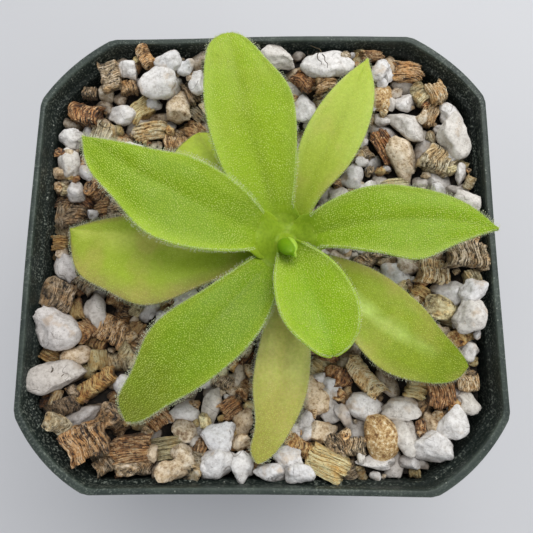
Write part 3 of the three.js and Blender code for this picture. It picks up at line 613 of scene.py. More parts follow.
white = Finish("perlite_white", roughness=0.88)
tone = white.attribute("tone")
chalk = white.noise(0.45, 6, 0.7)
chalk = white.ramp(chalk, (0.34, (196, 192, 188)), (0.46, (226, 224, 222)), (0.6, (245, 244, 243)))
crack_line = white.maths("ABSOLUTE", white.maths("SUBTRACT", white.noise(2.4, 1), 0.5))
crack_place = white.ramp(white.noise(2.2, 1), (0.53, 0.0), (0.58, 0.7))
cracks = white.times(white.ramp(crack_line, (0.0, 1.0), (0.009, 0.0)), crack_place)
chalk = white.mix(cracks, chalk, (112, 102, 94))
pits, _ = white.cells(2600.0)
pit_place = white.ramp(white.noise(0.8, 2), (0.46, 0.0), (0.58, 1.0))
pits = white.times(white.ramp(pits, (0.12, 1.0), (0.3, 0.0)), pit_place)
chalk = white.mix(white.times(pits, 0.42), chalk, (132, 124, 118))
stains = white.plus(white.noise(2.4, 4, 0.6), white.times(tone, 0.1))
chalk = white.mix(white.ramp(stains, (0.62, 0.0), (0.72, 0.55)), chalk, (206, 180, 146))
chalk = white.tinted(chalk, white.ramp(tone, (0.0, (234, 229, 219)), (0.3, (252, 250, 247)), (1.0, (243, 244, 246))))
white.feed(base_color=gap_shaded_darker_left(white, chalk, (234, 231, 231)))
white.bump(
    (white.times(white.plus(pits, cracks), -1.0), 0.6, 0.16),
    (white.noise(0.32, 5, 0.65), 0.8, 0.26),
    (white.noise(1.1), 0.6, 0.5),
)
spread_kind("w", "perlite_white", white, perlite_masters, plain_masters, True, (31, 32))

cream = Finish("perlite_cream", roughness=0.85)
stained = cream.ramp(
    cream.noise(0.8, 6, 0.72),
    (0.34, (130, 106, 82)),
    (0.43, (204, 188, 162)),
    (0.53, (236, 228, 212)),
    (0.66, (250, 247, 240)),
)
tint = cream.ramp(cream.attribute("tone"), (0.0, (250, 232, 206)), (0.5, (250, 244, 234)), (1.0, (232, 228, 228)))
grit = cream.ramp(cream.noise(0.25, 3, 0.6), (0.34, (150, 122, 96)), (0.46, (255, 255, 255)))
stained = cream.mix(0.6, cream.tinted(stained, tint), grit, "MULTIPLY")
cream.feed(base_color=gap_shaded_darker_left(cream, stained, (236, 231, 228)))
cream.bump((cream.noise(0.3, 5, 0.7), 0.9, 0.3), (cream.noise(1.0), 0.7, 0.5))
spread_kind("c", "perlite_cream", cream, perlite_masters, plain_masters, True, (33, 34))


# ---- the vermiculite ----
# Vermiculite is mica blown up by heat: each flake has opened like an accordion into a block of thin wavy
# plates, pearly on the flat ends, ragged and glinting along the sides, and straw, brown or grey.
def plate_stack(index, plates, corners):
    """A block of plates about a unit each way, each plate with a ragged outline of its own."""
    roll = dice(index * 97 + 5)
    circle = {"vertices": corners, "radius": 0.5, "fill_type": "NGON", "rotation": (0, math.pi / 2, 0)}
    stack = started("stack", bpy.ops.mesh.primitive_circle_add, **circle)
    bpy.ops.object.mode_set(mode="EDIT")
    bpy.ops.mesh.select_all(action="SELECT")
    bpy.ops.transform.resize(value=(1, 0.45, 0.45), center_override=(0, 0, 0))
    steps = [(0.01, 1.9)]
    thickness = [0.3 + 1.4 * roll() ** 2 for _ in range(plates)]
    for plate, thick in enumerate(thickness):
        thick /= sum(thickness)
        steps.append((thick * 0.8, 1 / 0.95 if plate == 0 else 1.0))
        if plate < plates - 1:
            steps += [(thick * 0.1, 0.8), (thick * 0.1, 1 / 0.8)]
    steps.append((0.01, 0.55))
    rings, plate, at = [(0.0, 0)], 0, 0.0
    for step, scale in steps:
        bpy.ops.mesh.extrude_region_move(TRANSFORM_OT_translate={"value": (step, 0, 0)})
        bpy.ops.transform.resize(value=(1, scale, scale), center_override=(0, 0, 0))
        at += step
        if 0.7 < scale < 0.95:
            plate += 1
        rings.append((at, plate))
    bpy.ops.mesh.select_all(action="SELECT")
    bpy.ops.mesh.normals_make_consistent(inside=False)
    bpy.ops.object.mode_set(mode="OBJECT")
    grown = [0.93 + 0.14 * roll() for _ in range(plates + 1)]
    slid = [((roll() - 0.5) * 0.07, (roll() - 0.5) * 0.07) for _ in range(plates + 1)]
    lie = stack.data.attributes.new("lie", "FLOAT_VECTOR", "POINT")
    for vertex in stack.data.vertices:
        x, y, z = vertex.co
        lie.data[vertex.index].vector = (x, y, z)
        plate = min(rings, key=lambda ring: abs(ring[0] - x))[1]
        away = math.hypot(y, z) + 1e-6
        cosine, sine = y / away, z / away
        block = 1 / (abs(cosine) ** 4 + abs(sine) ** 4) ** 0.25
        ragged = 1 + 0.13 * noise.noise(Vector((cosine * 2.3, sine * 2.3, plate * 0.55 + index * 5)))
        ragged += 0.07 * noise.noise(Vector((cosine * 6, sine * 6, plate * 3.1)))
        y = y * block * ragged * grown[plate] + slid[plate][0]
        z = z * block * ragged * grown[plate] + slid[plate][1]
        wave = 0.16 * noise.noise(Vector((y * 1.7, z * 1.7, index)))
        wave += 0.05 * noise.noise(Vector((y * 5, z * 5, x * 3 + index)))
        vertex.co = Vector((x + wave, y + 0.12 * math.sin(index * 2.1) * math.sin(x * math.pi), z))
        vertex.co += noise.noise_vector(vertex.co * 1.6 + Vector((index * 3, 0, 0))) * 0.09
    if index % 5 in (1, 3):
        stack.data.transform(Matrix.Rotation(math.pi / 2, 4, "Z"))
    elif index % 5 == 4:
        stack.data.transform(Matrix.Rotation(math.radians(50), 4, "Y"))
    return stack


def mica(name, dark, middle, pale, glint):
    """The finish of one colour of vermiculite: streaks along the plates, dark seams and painted glints."""
    flake = Finish(name, roughness=0.5, sheen_weight=0.08)
    tone = flake.attribute("tone")
    lie = flake.attribute("lie", "Vector")
    stretched = {"Vector": lie, "Location": (3.3, 1.7, 5.1), "Scale": (34.0, 3.2, 3.2)}
    stretched = flake.add("Mapping", stretched).outputs["Vector"]
    own = flake.add("CombineXYZ", {"X": flake.times(tone, 90.0)}).outputs["Vector"]
    along = flake.add("VectorMath", {0: stretched, 1: own}, operation="ADD").outputs["Vector"]
    streaks = flake.add("TexNoise", {"Vector": along, "Scale": 1.0, "Detail": 4.0, "Roughness": 0.7}).outputs["Fac"]
    broken = flake.noise(0.34, 4, 0.7)
    value = flake.plus(flake.times(streaks, 0.68), flake.times(broken, 0.37))
    value = flake.plus(value, flake.times(flake.plus(tone, flake.noise(2.2, 2)), 0.12))
    # The flat ends are pearly and even; the sides show every plate.
    flat_end = flake.ramp(flake.axes(lie)[0], (0.0, 0.25), (0.015, 0.0), (0.985, 0.0), (1.0, 0.25))
    value = flake.plus(flake.times(value, flake.maths("SUBTRACT", 1.0, flat_end)), flake.times(flat_end, 0.6))
    # Painted glints: the palest streaks and random small cells are painted the near-white glint colour, the cells
    # also made metallic.
    base = flake.ramp(value, (0.55, dark), (0.605, middle), (0.66, pale), (0.74, glint))
    _, chance = flake.cells(3200.0)
    painted_glints = flake.ramp(chance, (0.88, 0.0), (0.92, 0.7))
    own_hue = flake.ramp(tone, (0.1, (255, 240, 228)), (0.5, (255, 255, 255)), (0.85, (247, 246, 214)))
    base = flake.tinted(flake.mix(painted_glints, base, glint), own_hue)
    rust = flake.ramp(flake.noise(1.1, 3, 0.6), (0.48, 0.0), (0.62, 0.6))
    base = flake.mix(rust, base, flake.tinted(base, (252, 216, 154)))
    gloss = flake.ramp(broken, (0.35, 0.55), (0.65, 0.22))
    flake.feed(base_color=gap_shaded_darker_left(flake, base, (214, 208, 204)), metallic=painted_glints, roughness=gloss)
    flake.bump((streaks, 1.0, 0.34), (broken, 0.9, 0.3))
    return flake


fine_stacks = [plate_stack(i, plates, 28) for i, plates in enumerate((9, 12, 10, 14, 7, 11, 8, 13, 12, 6))]
plain_stacks = [plate_stack(i + 10, plates, 12) for i, plates in enumerate((6, 7, 5, 8, 4))]
straw = mica("vermiculite_straw", (48, 32, 16), (192, 156, 106), (242, 216, 168), (255, 248, 226))
brown = mica("vermiculite_brown", (30, 17, 9), (138, 95, 54), (200, 152, 98), (250, 226, 182))
grey = mica("vermiculite_grey", (38, 31, 23), (152, 136, 106), (210, 194, 162), (252, 244, 226))
spread_kind("s", "vermiculite_straw", straw, fine_stacks, plain_stacks, False, (41, 51))
spread_kind("b", "vermiculite_brown", brown, fine_stacks, plain_stacks, False, (42, 52))
spread_kind("g", "vermiculite_grey", grey, fine_stacks, plain_stacks, False, (43, 53))


# ---- the pebbles and crumbs ----
# Two pebbles of tan stone came in with the mix, worn smooth. Broken bits of all the grains have sifted
# down and lie in the gaps between them.
def pebble(index):
    """A worn pebble."""
    stone = master_at((5.1 * index, 0.4, 2.2), bpy.ops.mesh.primitive_ico_sphere_add, subdivisions=4)
    pushed(stone, "CLOUDS", 0.9, 0.3, noise_depth=1)
    pushed(stone, "CLOUDS", 0.22, 0.06, noise_depth=2)
    return stone


def crumb(index):
    """A broken bit of few faces."""
    bit = master_at((2.9 * index, 7.7, 1.1), bpy.ops.mesh.primitive_uv_sphere_add, segments=8, ring_count=6)
    pushed(bit, "CLOUDS", 0.5, 0.6, noise_depth=1)
    lie = bit.data.attributes.new("lie", "FLOAT_VECTOR", "POINT")
    for vertex in bit.data.vertices:
        lie.data[vertex.index].vector = vertex.co * 0.5
    return bit


pebble_masters = [pebble(1), pebble(2)]
tan = Finish("pebble_tan", roughness=0.55)
mottle = tan.noise(0.42, 6, 0.78)
tan_stops = (0.38, (114, 78, 42)), (0.46, (186, 145, 90)), (0.54, (224, 192, 136)), (0.62, (254, 244, 216))
tan.feed(base_color=tan.ramp(mottle, *tan_stops))
tan.bump((mottle, 1.0, 0.35), (tan.noise(1.2), 0.7, 0.5))
spread_copies("pebbles", pebble_masters, [g for g in grains if g["kind"] == "o"], tan, False, 61)

CRUMB_SEED, CRUMB_TRIES = 71, 2600
crumb_masters = [crumb(i) for i in range(12)]
roll = dice(CRUMB_SEED)
crumbs = {kind: [] for kind in "wcsbg"}
for _ in range(CRUMB_TRIES):
    x, y = (roll() - 0.5) * 80, (roll() - 0.5) * 80
    size = 0.8 + 1.9 * roll() ** 1.5
    kind = ("wwcsbg" if x > -12 else "gcsbbg")[int(roll() * 6)]
    rise, turn = roll(), roll() * 180
    kept = x > -12 or roll() < 0.6
    if kept and all(from_grain(g, x, y) > 0.2 * (g["long"] + g["wide"]) for g in grains):
        if abs(x) + abs(y) < 64 and from_crown(x, y) > 4:
            z = bed_height(x, y) - 0.1 + 0.9 * rise * min(size, 1.6)
            sizes = {"long": size * 1.3, "wide": size, "high": size * 0.85}
            crumbs[kind].append({"x": x, "y": y, "z": z, "turn": turn, **sizes})
for seed, kind, word, finish in (
    (72, "w", "white", white),
    (73, "c", "cream", cream),
    (74, "s", "straw", straw),
    (75, "b", "brown", brown),
    (76, "g", "grey", grey),
):
    spread_copies("crumbs_" + word, crumb_masters, crumbs[kind], finish, True, seed)

for master in perlite_masters + plain_masters + fine_stacks + plain_stacks + pebble_masters + crumb_masters:
    bpy.data.objects.remove(master)
bpy.data.objects.remove(noise_place)

# ---- the dead moss ----
# A few strands of dead moss came in with the mix: dark, dry and as thin as thread. They lie in tufts over the
# grains at the back and along the left wall: x, y, z and reach of each tuft.
MOSS_TUFTS = (
    (11.5, 38.4, 81.6, 2.8),
    (-34.4, 5.0, 77.4, 3.6),
    (-33.0, 2.0, 76.6, 3.2),
    (-32.3, 26.2, 77.2, 2.8),
    (-36.6, -24.0, 78.4, 3.4),
)
MOSS_SEED, STRANDS_IN_TUFT, STRAND_RADIUS = 83, 4, 0.11
strands = []
roll = dice(MOSS_SEED)
for x, y, z, reach in MOSS_TUFTS:
    for _ in range(STRANDS_IN_TUFT):
        curve = bpy.data.curves.new("moss", "CURVE")
        curve.dimensions, curve.bevel_depth, curve.bevel_resolution = "3D", STRAND_RADIUS * MM, 1
        curve.resolution_u, curve.use_fill_caps = 4, True
        line = curve.splines.new("BEZIER")
        line.bezier_points.add(4)
        heading, at = roll() * math.tau, Vector((x + roll() - 0.5, y + roll() - 0.5, z - 0.3)) * MM
        for step, point in enumerate(line.bezier_points):
            point.co, point.radius = at, 1 - 0.14 * step
            point.handle_left_type = point.handle_right_type = "AUTO"
            heading += (roll() - 0.5) * 1.8
            at = at + Vector((math.cos(heading), math.sin(heading), 0.9 * roll() - 0.55)) * reach / 4 * MM
        strand = bpy.data.objects.new("moss", curve)
        bpy.context.collection.objects.link(strand)
        strands.append(strand)
select_only(*strands)
bpy.ops.object.convert(target="MESH")
bpy.ops.object.join()
moss = bpy.context.object
moss.name = "moss_strands"
bpy.ops.object.shade_smooth()

dry = Finish("moss_dead", roughness=0.8)
dry.feed(base_color=dry.ramp(dry.noise(0.6), (0.35, (34, 28, 20)), (0.65, (92, 76, 50))))
dry.bump((dry.noise(0.2), 0.5, 0.05))
moss.data.materials.append(dry.material)
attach(moss, "root")
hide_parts("potting_mix")


# ---- the crown ----
# The short stem that the leaves grow from, pale and ringed with the stubs of leaves that have withered.
# It stands in a hole in the mix and its roots spread below.
CROWN_SHOULDER, CROWN_TOP, CROWN_TIP = 74.0, 81.2, 1.3


def stem_radius(height):
    taper = min(max((height - CROWN_SHOULDER) / (CROWN_TOP - CROWN_SHOULDER), 0), 1)
    return CROWN_RADIUS + (CROWN_TIP - CROWN_RADIUS) * taper


crown_profile = [(1.2, 60.6), (2.0, 65.0), (2.6, 70.0), (2.75, 72.0)]
for height in (73.0, 73.9, 74.8, 75.7, 76.6, 77.5, 78.4):
    crown_profile += [(stem_radius(height) + 0.28, height), (stem_radius(height) + 0.02, height + 0.6)]
crown_profile += [(1.5, 79.4)]


def ring_raised(name, corners, profile):
    """A round piece raised from a ring through a profile of (radius, height) and closed at both ends."""
    radius, height = profile[0]
    circle = {"vertices": corners, "radius": radius * MM, "fill_type": "NOTHING", "location": (0, 0, height * MM)}
    piece = started(name, bpy.ops.mesh.primitive_circle_add, **circle)
    bpy.ops.object.mode_set(mode="EDIT")
    bpy.ops.mesh.select_all(action="SELECT")
    raise_outline(profile)
    close_ends()
    return piece


crown = ring_raised("crown_stem", 28, crown_profile)
for vertex in crown.data.vertices:
    scar = noise.noise(vertex.co / (1.4 * MM)) * 0.25 * MM
    vertex.co += Vector((vertex.co.x, vertex.co.y, 0)).normalized() * scar
    vertex.co += Vector((CROWN_X, CROWN_Y, 0)) * MM
bpy.ops.object.shade_smooth()

stem = Finish(
    "crown_skin", roughness=0.5, subsurface_weight=0.15, subsurface_radius=(0.6, 0.9, 0.2), subsurface_scale=1.0 * MM
)
stubs = stem.ramp(stem.noise(1.2, 4, 0.6), (0.35, (110, 96, 48)), (0.55, (150, 160, 78)), (0.7, (172, 186, 104)))
stem.feed(base_color=stubs)
stem.bump((stem.noise(0.5, 4), 0.5, 0.2))
crown.data.materials.append(stem.material)
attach(crown, "root")
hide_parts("crown")


# ---- the leaves ----
# Ten fleshy leaves spiral up the crown, the oldest lowest. Each clasps the crown with a cupped base, opens
# flat towards its tip, and is covered with stalked glands that each carry a drop of sticky slime.
#
# turn and sway are a leaf's heading at its foot and how far it swings on the way to the tip; rise and fall are its
# pitch at foot and tip; base is its height on the crown; cup is the fold of each half at foot and tip; groove is
# the depth of the midrib's furrow; blunt is how full the tip is; left and right are half widths at even steps.
# glands: their spacing and size. fringe: the spacing, length and size of the margin's hairs. stipple and aged: how
# much the dots and the yellowing show. along: where the tinge sets in from foot to tip.
LEAVES = {
    "leaf_front": {
        "turn": -66, "sway": -9.5, "length": 22.2, "rise": 42, "fall": 5, "base": 80.6,
        "cup": (70, 35), "groove": 0.06, "blunt": 0.95, "stipple": 0.22, "aged": 0,
        "left": (2.7, 5.9, 6.8, 5.9, 3.6), "right": (2.7, 6, 6.6, 5, 2.8),
        "glands": (0.38, 0.084), "fringe": (0.22, 0.42, 0.06), "along": ((0.8, 0), (1, 0.3)),
        "green": (146, 181, 18), "rib": (136, 174, 14), "margin": (166, 194, 56), "tinge": (150, 182, 34),
    },
    "leaf_upper_left": {
        "turn": 165.6, "sway": -24, "length": 40.4, "rise": 38, "fall": -16, "base": 79.9,
        "cup": (60, 10), "groove": 0.32, "blunt": 0.37, "stipple": 0.22, "aged": 0,
        "left": (2, 7, 8.9, 6.3, 4.1), "right": (1.9, 6.1, 6.8, 4.5, 2.3),
        "glands": (0.38, 0.088), "fringe": (0.18, 0.68, 0.075), "along": ((0.8, 0), (1, 0.5)),
        "green": (132, 165, 8), "rib": (132, 164, 12), "margin": (168, 196, 50), "tinge": (150, 180, 40),
    },
    "leaf_right": {
        "turn": 12.5, "sway": -23.5, "length": 36, "rise": 38, "fall": -14, "base": 79,
        "cup": (60, 10), "groove": 0.34, "blunt": 0.06, "stipple": 0.22, "aged": 0,
        "left": (2.1, 5, 6.3, 5.4, 3.5), "right": (2.1, 3.9, 5.9, 7.3, 3.8),
        "glands": (0.38, 0.088), "fringe": (0.2, 0.58, 0.07), "along": ((0.8, 0), (1, 0.5)),
        "green": (138, 172, 14), "rib": (134, 166, 20), "margin": (158, 184, 60), "tinge": (148, 174, 44),
    },
    "leaf_lower_left": {
        "turn": 233, "sway": -8, "length": 41, "rise": 36, "fall": -24, "base": 78.1,
        "cup": (60, 5), "groove": 0.22, "blunt": 0.9, "stipple": 0.22, "aged": 0,
        "left": (2.5, 7, 6, 3.5, 2), "right": (2.4, 5, 7.4, 5, 3.6),
        "glands": (0.36, 0.076), "fringe": (0.18, 0.62, 0.075), "along": ((0.4, 0), (0.78, 0.95)),
        "green": (120, 153, 8), "rib": (116, 147, 8), "margin": (140, 166, 36), "tinge": (114, 126, 20),
    },
    "leaf_back": {
        "turn": 110, "sway": -8, "length": 37.5, "rise": 40, "fall": 0, "base": 77.5,
        "cup": (60, 15), "groove": 0.12, "blunt": 0.97, "stipple": 0.22, "aged": 0.1,
        "left": (2.5, 7, 7.2, 5.6, 3.6), "right": (2.3, 6.8, 8.6, 5.5, 2.8),
        "glands": (0.39, 0.086), "fringe": (0.2, 0.5, 0.065), "along": ((0.5, 0), (1, 0.6)),
        "green": (158, 188, 34), "rib": (148, 176, 32), "margin": (168, 194, 66), "tinge": (172, 196, 58),
    },
    # Its pale rib colour is a painted sheen along the midrib.
    "leaf_lower_right": {
        "turn": -48.5, "sway": 28.5, "length": 37.6, "rise": 30, "fall": -22, "base": 76.8,
        "cup": (50, 5), "groove": 0.1, "blunt": 0.95, "stipple": 0.18, "aged": 0.3,
        "left": (2.4, 6.7, 6.2, 3.4, 1.5), "right": (2.4, 4.4, 7.2, 5.7, 3.2),
        "glands": (0.46, 0.054), "fringe": (0.26, 0.5, 0.055), "along": ((0.25, 0), (0.68, 1)),
        "green": (153, 172, 42), "rib": (194, 216, 112), "margin": (190, 184, 98), "tinge": (122, 142, 18),
    },
    # Its green and its pale rib colour are lighter than the leaf's own, as painted light where the upper left leaf
    # shades it.
    "leaf_left": {
        "turn": 184, "sway": -18, "length": 39, "rise": 24, "fall": -18, "base": 76.1,
        "cup": (40, 5), "groove": 0.12, "blunt": 0.55, "stipple": 0.16, "aged": 0.5,
        "left": (2.3, 7.2, 12, 10.2, 7.5), "right": (2.4, 5, 6, 4, 2),
        "glands": (0.48, 0.06), "fringe": (0.24, 0.6, 0.07), "along": ((0.5, 0), (1, 0.4)),
        "green": (172, 194, 60), "rib": (204, 218, 96), "margin": (160, 150, 84), "tinge": (148, 144, 62),
    },
    "leaf_upper_right": {
        "turn": 66.5, "sway": -0.5, "length": 38.3, "rise": 28, "fall": -14, "base": 75.4,
        "cup": (50, 10), "groove": 0.12, "blunt": 0.05, "stipple": 0.16, "aged": 0.35,
        "left": (2, 3.4, 5.2, 4.8, 2.9), "right": (1.9, 2.5, 5.2, 5.6, 4),
        "glands": (0.5, 0.055), "fringe": (0.26, 0.5, 0.06), "along": ((0.5, 0), (1, 0.5)),
        "green": (172, 190, 64), "rib": (164, 182, 56), "margin": (184, 202, 92), "tinge": (184, 200, 82),
    },
    # Its green and rib colours are far paler than the leaf's own, as painted light on its foot in the shade of the
    # front leaf.
    "leaf_bottom": {
        "turn": 273.8, "sway": -24.1, "length": 36.7, "rise": 20, "fall": -7, "base": 74.7,
        "cup": (30, 0), "groove": 0.2, "blunt": 0.94, "stipple": 0.26, "aged": 0.5,
        "left": (2.1, 4.2, 5, 3.6, 1.8), "right": (2.1, 4.3, 4.7, 2.5, 1.9),
        "glands": (0.42, 0.064), "fringe": (0.22, 0.6, 0.065), "along": ((0.22, 0), (0.42, 0.6), (0.66, 1)),
        "green": (232, 234, 138), "rib": (236, 238, 138), "margin": (214, 214, 136), "tinge": (172, 166, 82),
    },
    # Its green is lighter than the leaf's own, as painted light on a leaf that lies in the shade of those above.
    "leaf_hidden": {
        "turn": 133, "sway": -14, "length": 26.2, "rise": 22, "fall": -12, "base": 74,
        "cup": (30, 0), "groove": 0.1, "blunt": 0.9, "stipple": 0.16, "aged": 0.2,
        "left": (2.1, 4.6, 6.5, 6.9, 5.8), "right": (2.1, 3.9, 3.8, 2.4, 2),
        "glands": (0.5, 0.055), "fringe": (0.26, 0.5, 0.06), "along": ((0.6, 0), (1, 0.5)),
        "green": (214, 238, 84), "rib": (192, 212, 70), "margin": (198, 214, 96), "tinge": (172, 188, 70),
    },
}
LEAF_ROWS, LEAF_COLUMNS = 56, 20
RIB_THICKNESS, MARGIN_THICKNESS = 1.25, 0.5


def through(values, s):
    """A smooth curve through values at even steps of s from 0 to 1."""
    last = len(values) - 1
    i = min(int(s * last), last - 1)
    f = s * last - i
    b, c = values[i], values[i + 1]
    a = values[i - 1] if i > 0 else 2 * b - c
    d = values[i + 2] if i + 2 <= last else 2 * c - b
    return b + ((c - a) * f + (2 * a - 5 * b + 4 * c - d) * f**2 + (3 * b - a - 3 * c + d) * f**3) / 2


def share_along(leaf, s):
    """The share of the midrib's length that a row of the blade lies at; a blunt tip has its rows closer together."""
    return s * (1 + leaf["blunt"]) - leaf["blunt"] * s * s


def midrib(leaf, s):
    """The midrib at a row of the blade: its place, and the directions to the left and up."""
    t = share_along(leaf, s)

    def ahead(heading, pitch):
        return Vector((math.cos(pitch) * math.cos(heading), math.cos(pitch) * math.sin(heading), math.sin(pitch)))

    def heading_at(at):
        return math.radians(leaf["turn"] + leaf["sway"] * at)

    def pitch_at(at):
        return math.radians(leaf["rise"] + (leaf["fall"] - leaf["rise"]) * at)

    spine = Vector((CROWN_X, CROWN_Y, leaf["base"])) + ahead(heading_at(0), 0) * (stem_radius(leaf["base"]) + 0.6)
    for i in range(40):
        at = (i + 0.5) / 40 * t
        spine += ahead(heading_at(at), pitch_at(at)) * leaf["length"] * t / 40
    return spine, ahead(heading_at(t) + math.pi / 2, 0), ahead(heading_at(t), pitch_at(t) + math.pi / 2)


def half_width(leaf, s, u):
    return max(through([*leaf["right" if u < 0 else "left"], 0], s), 0.25)


def blade_point(leaf, s, u, rib):
    """One point of the blade's middle sheet and its upward direction, in millimetres."""
    spine, left, up = rib
    half = half_width(leaf, s, u)
    flat, opened = leaf["cup"]
    fold = math.radians(flat + (opened - flat) * min(share_along(leaf, s) / 0.6, 1))
    lean = fold * abs(u) / 2
    normal = up * math.cos(fold * u) - left * math.sin(fold * u)
    point = spine + left * half * u * math.cos(lean) + up * half * abs(u) * math.sin(lean)
    across = u * half
    along = math.sin(math.pi * min(max(s * 1.05, 0), 1)) ** 0.5
    groove = -leaf["groove"] * math.exp(-((across / 1.0) ** 2)) * along
    groove += (0.1 + 0.3 * leaf["groove"]) * math.sin(math.pi * u) ** 2 * min(half / 5, 1) * along
    waves = 0.4 * noise.noise(Vector((s * 3.1, across / 7, leaf["turn"])))
    waves += 0.16 * noise.noise(Vector((s * 9, across / 2.6, leaf["turn"] + 9)))
    curl = 0.25 * max(abs(u) - 0.8, 0) ** 2 / 0.04 * min(half / 3, 1)
    return point + normal * (groove + waves * math.sin(math.pi * min(max(s, 0.02), 0.98)) + curl), normal


def blade_thickness(leaf, s, u):
    return MARGIN_THICKNESS + (RIB_THICKNESS - MARGIN_THICKNESS) * (1 - u * u) * min(half_width(leaf, s, u) / 3, 1)


def flattened(point, u):
    """How far the cupped margins sink towards the rosette's heart, in millimetres."""
    return 2.2 * abs(u) ** 3 * (1 - smooth_step(from_crown(point.x, point.y), 3.2, 7.6))


def sunk_in_heart(leaf, point, u):
    """How far a blade lies under the skin of the rosette's heart, in millimetres; the front leaf lies on it."""
    if leaf is LEAVES["leaf_front"]:
        return 0
    return flattened(point, u) + 0.45 * (1 - smooth_step(from_crown(point.x, point.y), 3.2, 6.8))


def leaf_blade(name, leaf):
    """The blade: a grid laid along the midrib, given its thickness and smoothed."""
    blade = started(
        name, bpy.ops.mesh.primitive_grid_add, x_subdivisions=LEAF_COLUMNS, y_subdivisions=LEAF_ROWS, size=1
    )
    thickness = blade.vertex_groups.new(name="thickness")
    ribs = {}
    root = -0.9 / (leaf["length"] * (1 + leaf["blunt"]))
    for vertex in blade.data.vertices:
        s, u = round(vertex.co.y + 0.5, 5), round(vertex.co.x * -2, 5)
        s = root + (1 - root) * s
        if s not in ribs:
            ribs[s] = midrib(leaf, s)
        point, normal = blade_point(leaf, s, u, ribs[s])
        thickness.add([vertex.index], blade_thickness(leaf, s, u) / RIB_THICKNESS, "REPLACE")
        vertex.co = (point - normal * sunk_in_heart(leaf, point, u)) * MM
    apply_modifier(blade, "SOLIDIFY", thickness=RIB_THICKNESS * MM, offset=0, vertex_group="thickness")
    apply_modifier(blade, "SUBSURF", levels=1, render_levels=1)
    bpy.ops.object.shade_smooth()
    return blade


def unit(vectors):
    return vectors / np.linalg.norm(vectors, axis=1)[:, None]


def lengths_along(line):
    return np.r_[0, np.cumsum(np.linalg.norm(np.diff(line, axis=0), axis=1))]


def top_face(leaf):
    """A grid over the blade's top face: its points, its normals, and how bare of glands it is near the crown."""
    rows, columns = 90, 41
    points, normals, bare = np.empty((rows, columns, 3)), np.empty((rows, columns, 3)), np.empty((rows, columns))
    near, far = (2.4, 4.0) if leaf is LEAVES["leaf_front"] else (4.6, 9.0)
    for r in range(rows):
        s = r / (rows - 1)
        rib = midrib(leaf, s)
        for c in range(columns):
            u = c / (columns - 1) * 2 - 1
            point, normal = blade_point(leaf, s, u, rib)
            bare[r, c] = 1 - smooth_step(from_crown(point.x, point.y), near, far)
            points[r, c] = point + normal * blade_thickness(leaf, s, u) / 2 * 0.97
            normals[r, c] = normal
    return points, normals, bare


def face_glands(leaf, points, normals, bare, rng):
    """Rows of glands over the top face: their places, directions, lengths and sizes."""
    rows, columns = bare.shape
    spacing, drop_size = leaf["glands"]
    rib_length = lengths_along(points[:, columns // 2])
    in_rows, in_columns = [], []
    for step, at in enumerate(np.arange(spacing / 2, rib_length[-1], spacing * 0.87)):
        row = np.interp(at, rib_length, np.arange(rows))
        across = lengths_along(points[int(row)])
        spots = np.arange(spacing * (0.3 + 0.5 * (step % 2)), across[-1] - 0.2 * spacing, spacing)
        spots = spots + rng.normal(0, 0.19 * spacing, spots.size)
        in_columns.append(np.interp(spots, across, np.arange(columns)))
        in_rows.append(row + rng.normal(0, 0.15 * spacing, spots.size) * rows / rib_length[-1])
    in_rows = np.clip(np.concatenate(in_rows), 0, rows - 1.001)
    in_columns = np.clip(np.concatenate(in_columns), 0, columns - 1.001)
    r, c = in_rows.astype(int), in_columns.astype(int)
    kept = rng.random(r.size) > bare[r, c]
    r, c, in_rows, in_columns = r[kept], c[kept], in_rows[kept], in_columns[kept]
    fr, fc = (in_rows - r)[:, None], (in_columns - c)[:, None]

    def within(grid):
        near, far = (grid[r, k] * (1 - fr) + grid[r + 1, k] * fr for k in (c, c + 1))
        return near * (1 - fc) + far * fc

    place, lean = within(points), within(normals)
    lean += rng.normal(0, 0.15, lean.shape)
    reach = rng.uniform(0.16, 0.28, r.size)
    size = rng.uniform(0.7, 1.25, r.size) * drop_size * (1 - 0.35 * bare[r, c])
    return place, lean, reach, size


def margin_fringe(leaf, points, normals, bare, rng):
    """Two rows of hairs out round the margin: their places, directions, lengths and sizes."""
    spacing, length, hair_size = leaf["fringe"]
    place, lean, reach = np.empty((0, 3)), np.empty((0, 3)), np.empty(0)
    for side, inward in ((0, 1), (-1, -2)):
        edge, out = points[:, side], unit(points[:, side] - points[:, inward])
        lengths = lengths_along(edge)
        for row in range(2):
            at = np.arange(0.3, lengths[-1], spacing)
            at = at + rng.uniform(-0.5, 0.5, at.size) * spacing
            spots, outs, ups = (
                np.stack([np.interp(at, lengths, line[:, k]) for k in range(3)], 1)
                for line in (edge, out, normals[:, side])
            )
            spots += -outs * 0.28 * row - ups * rng.uniform(0.05, 0.3, at.size)[:, None] * (row == 0)
            outs += ups * (0.1 + 0.55 * row) + rng.normal(0, 0.22, (at.size, 3))
            grown = rng.uniform(0.6, 1.1, at.size) * length * (1 - 0.2 * row)
            grown = grown * (1 - np.interp(at, lengths, bare[:, side]))
            keep = grown > 0.12
            place, lean = np.vstack([place, spots[keep]]), np.vstack([lean, outs[keep]])
            reach = np.r_[reach, grown[keep]]
    return place, lean, reach, rng.uniform(0.7, 1.2, reach.size) * hair_size


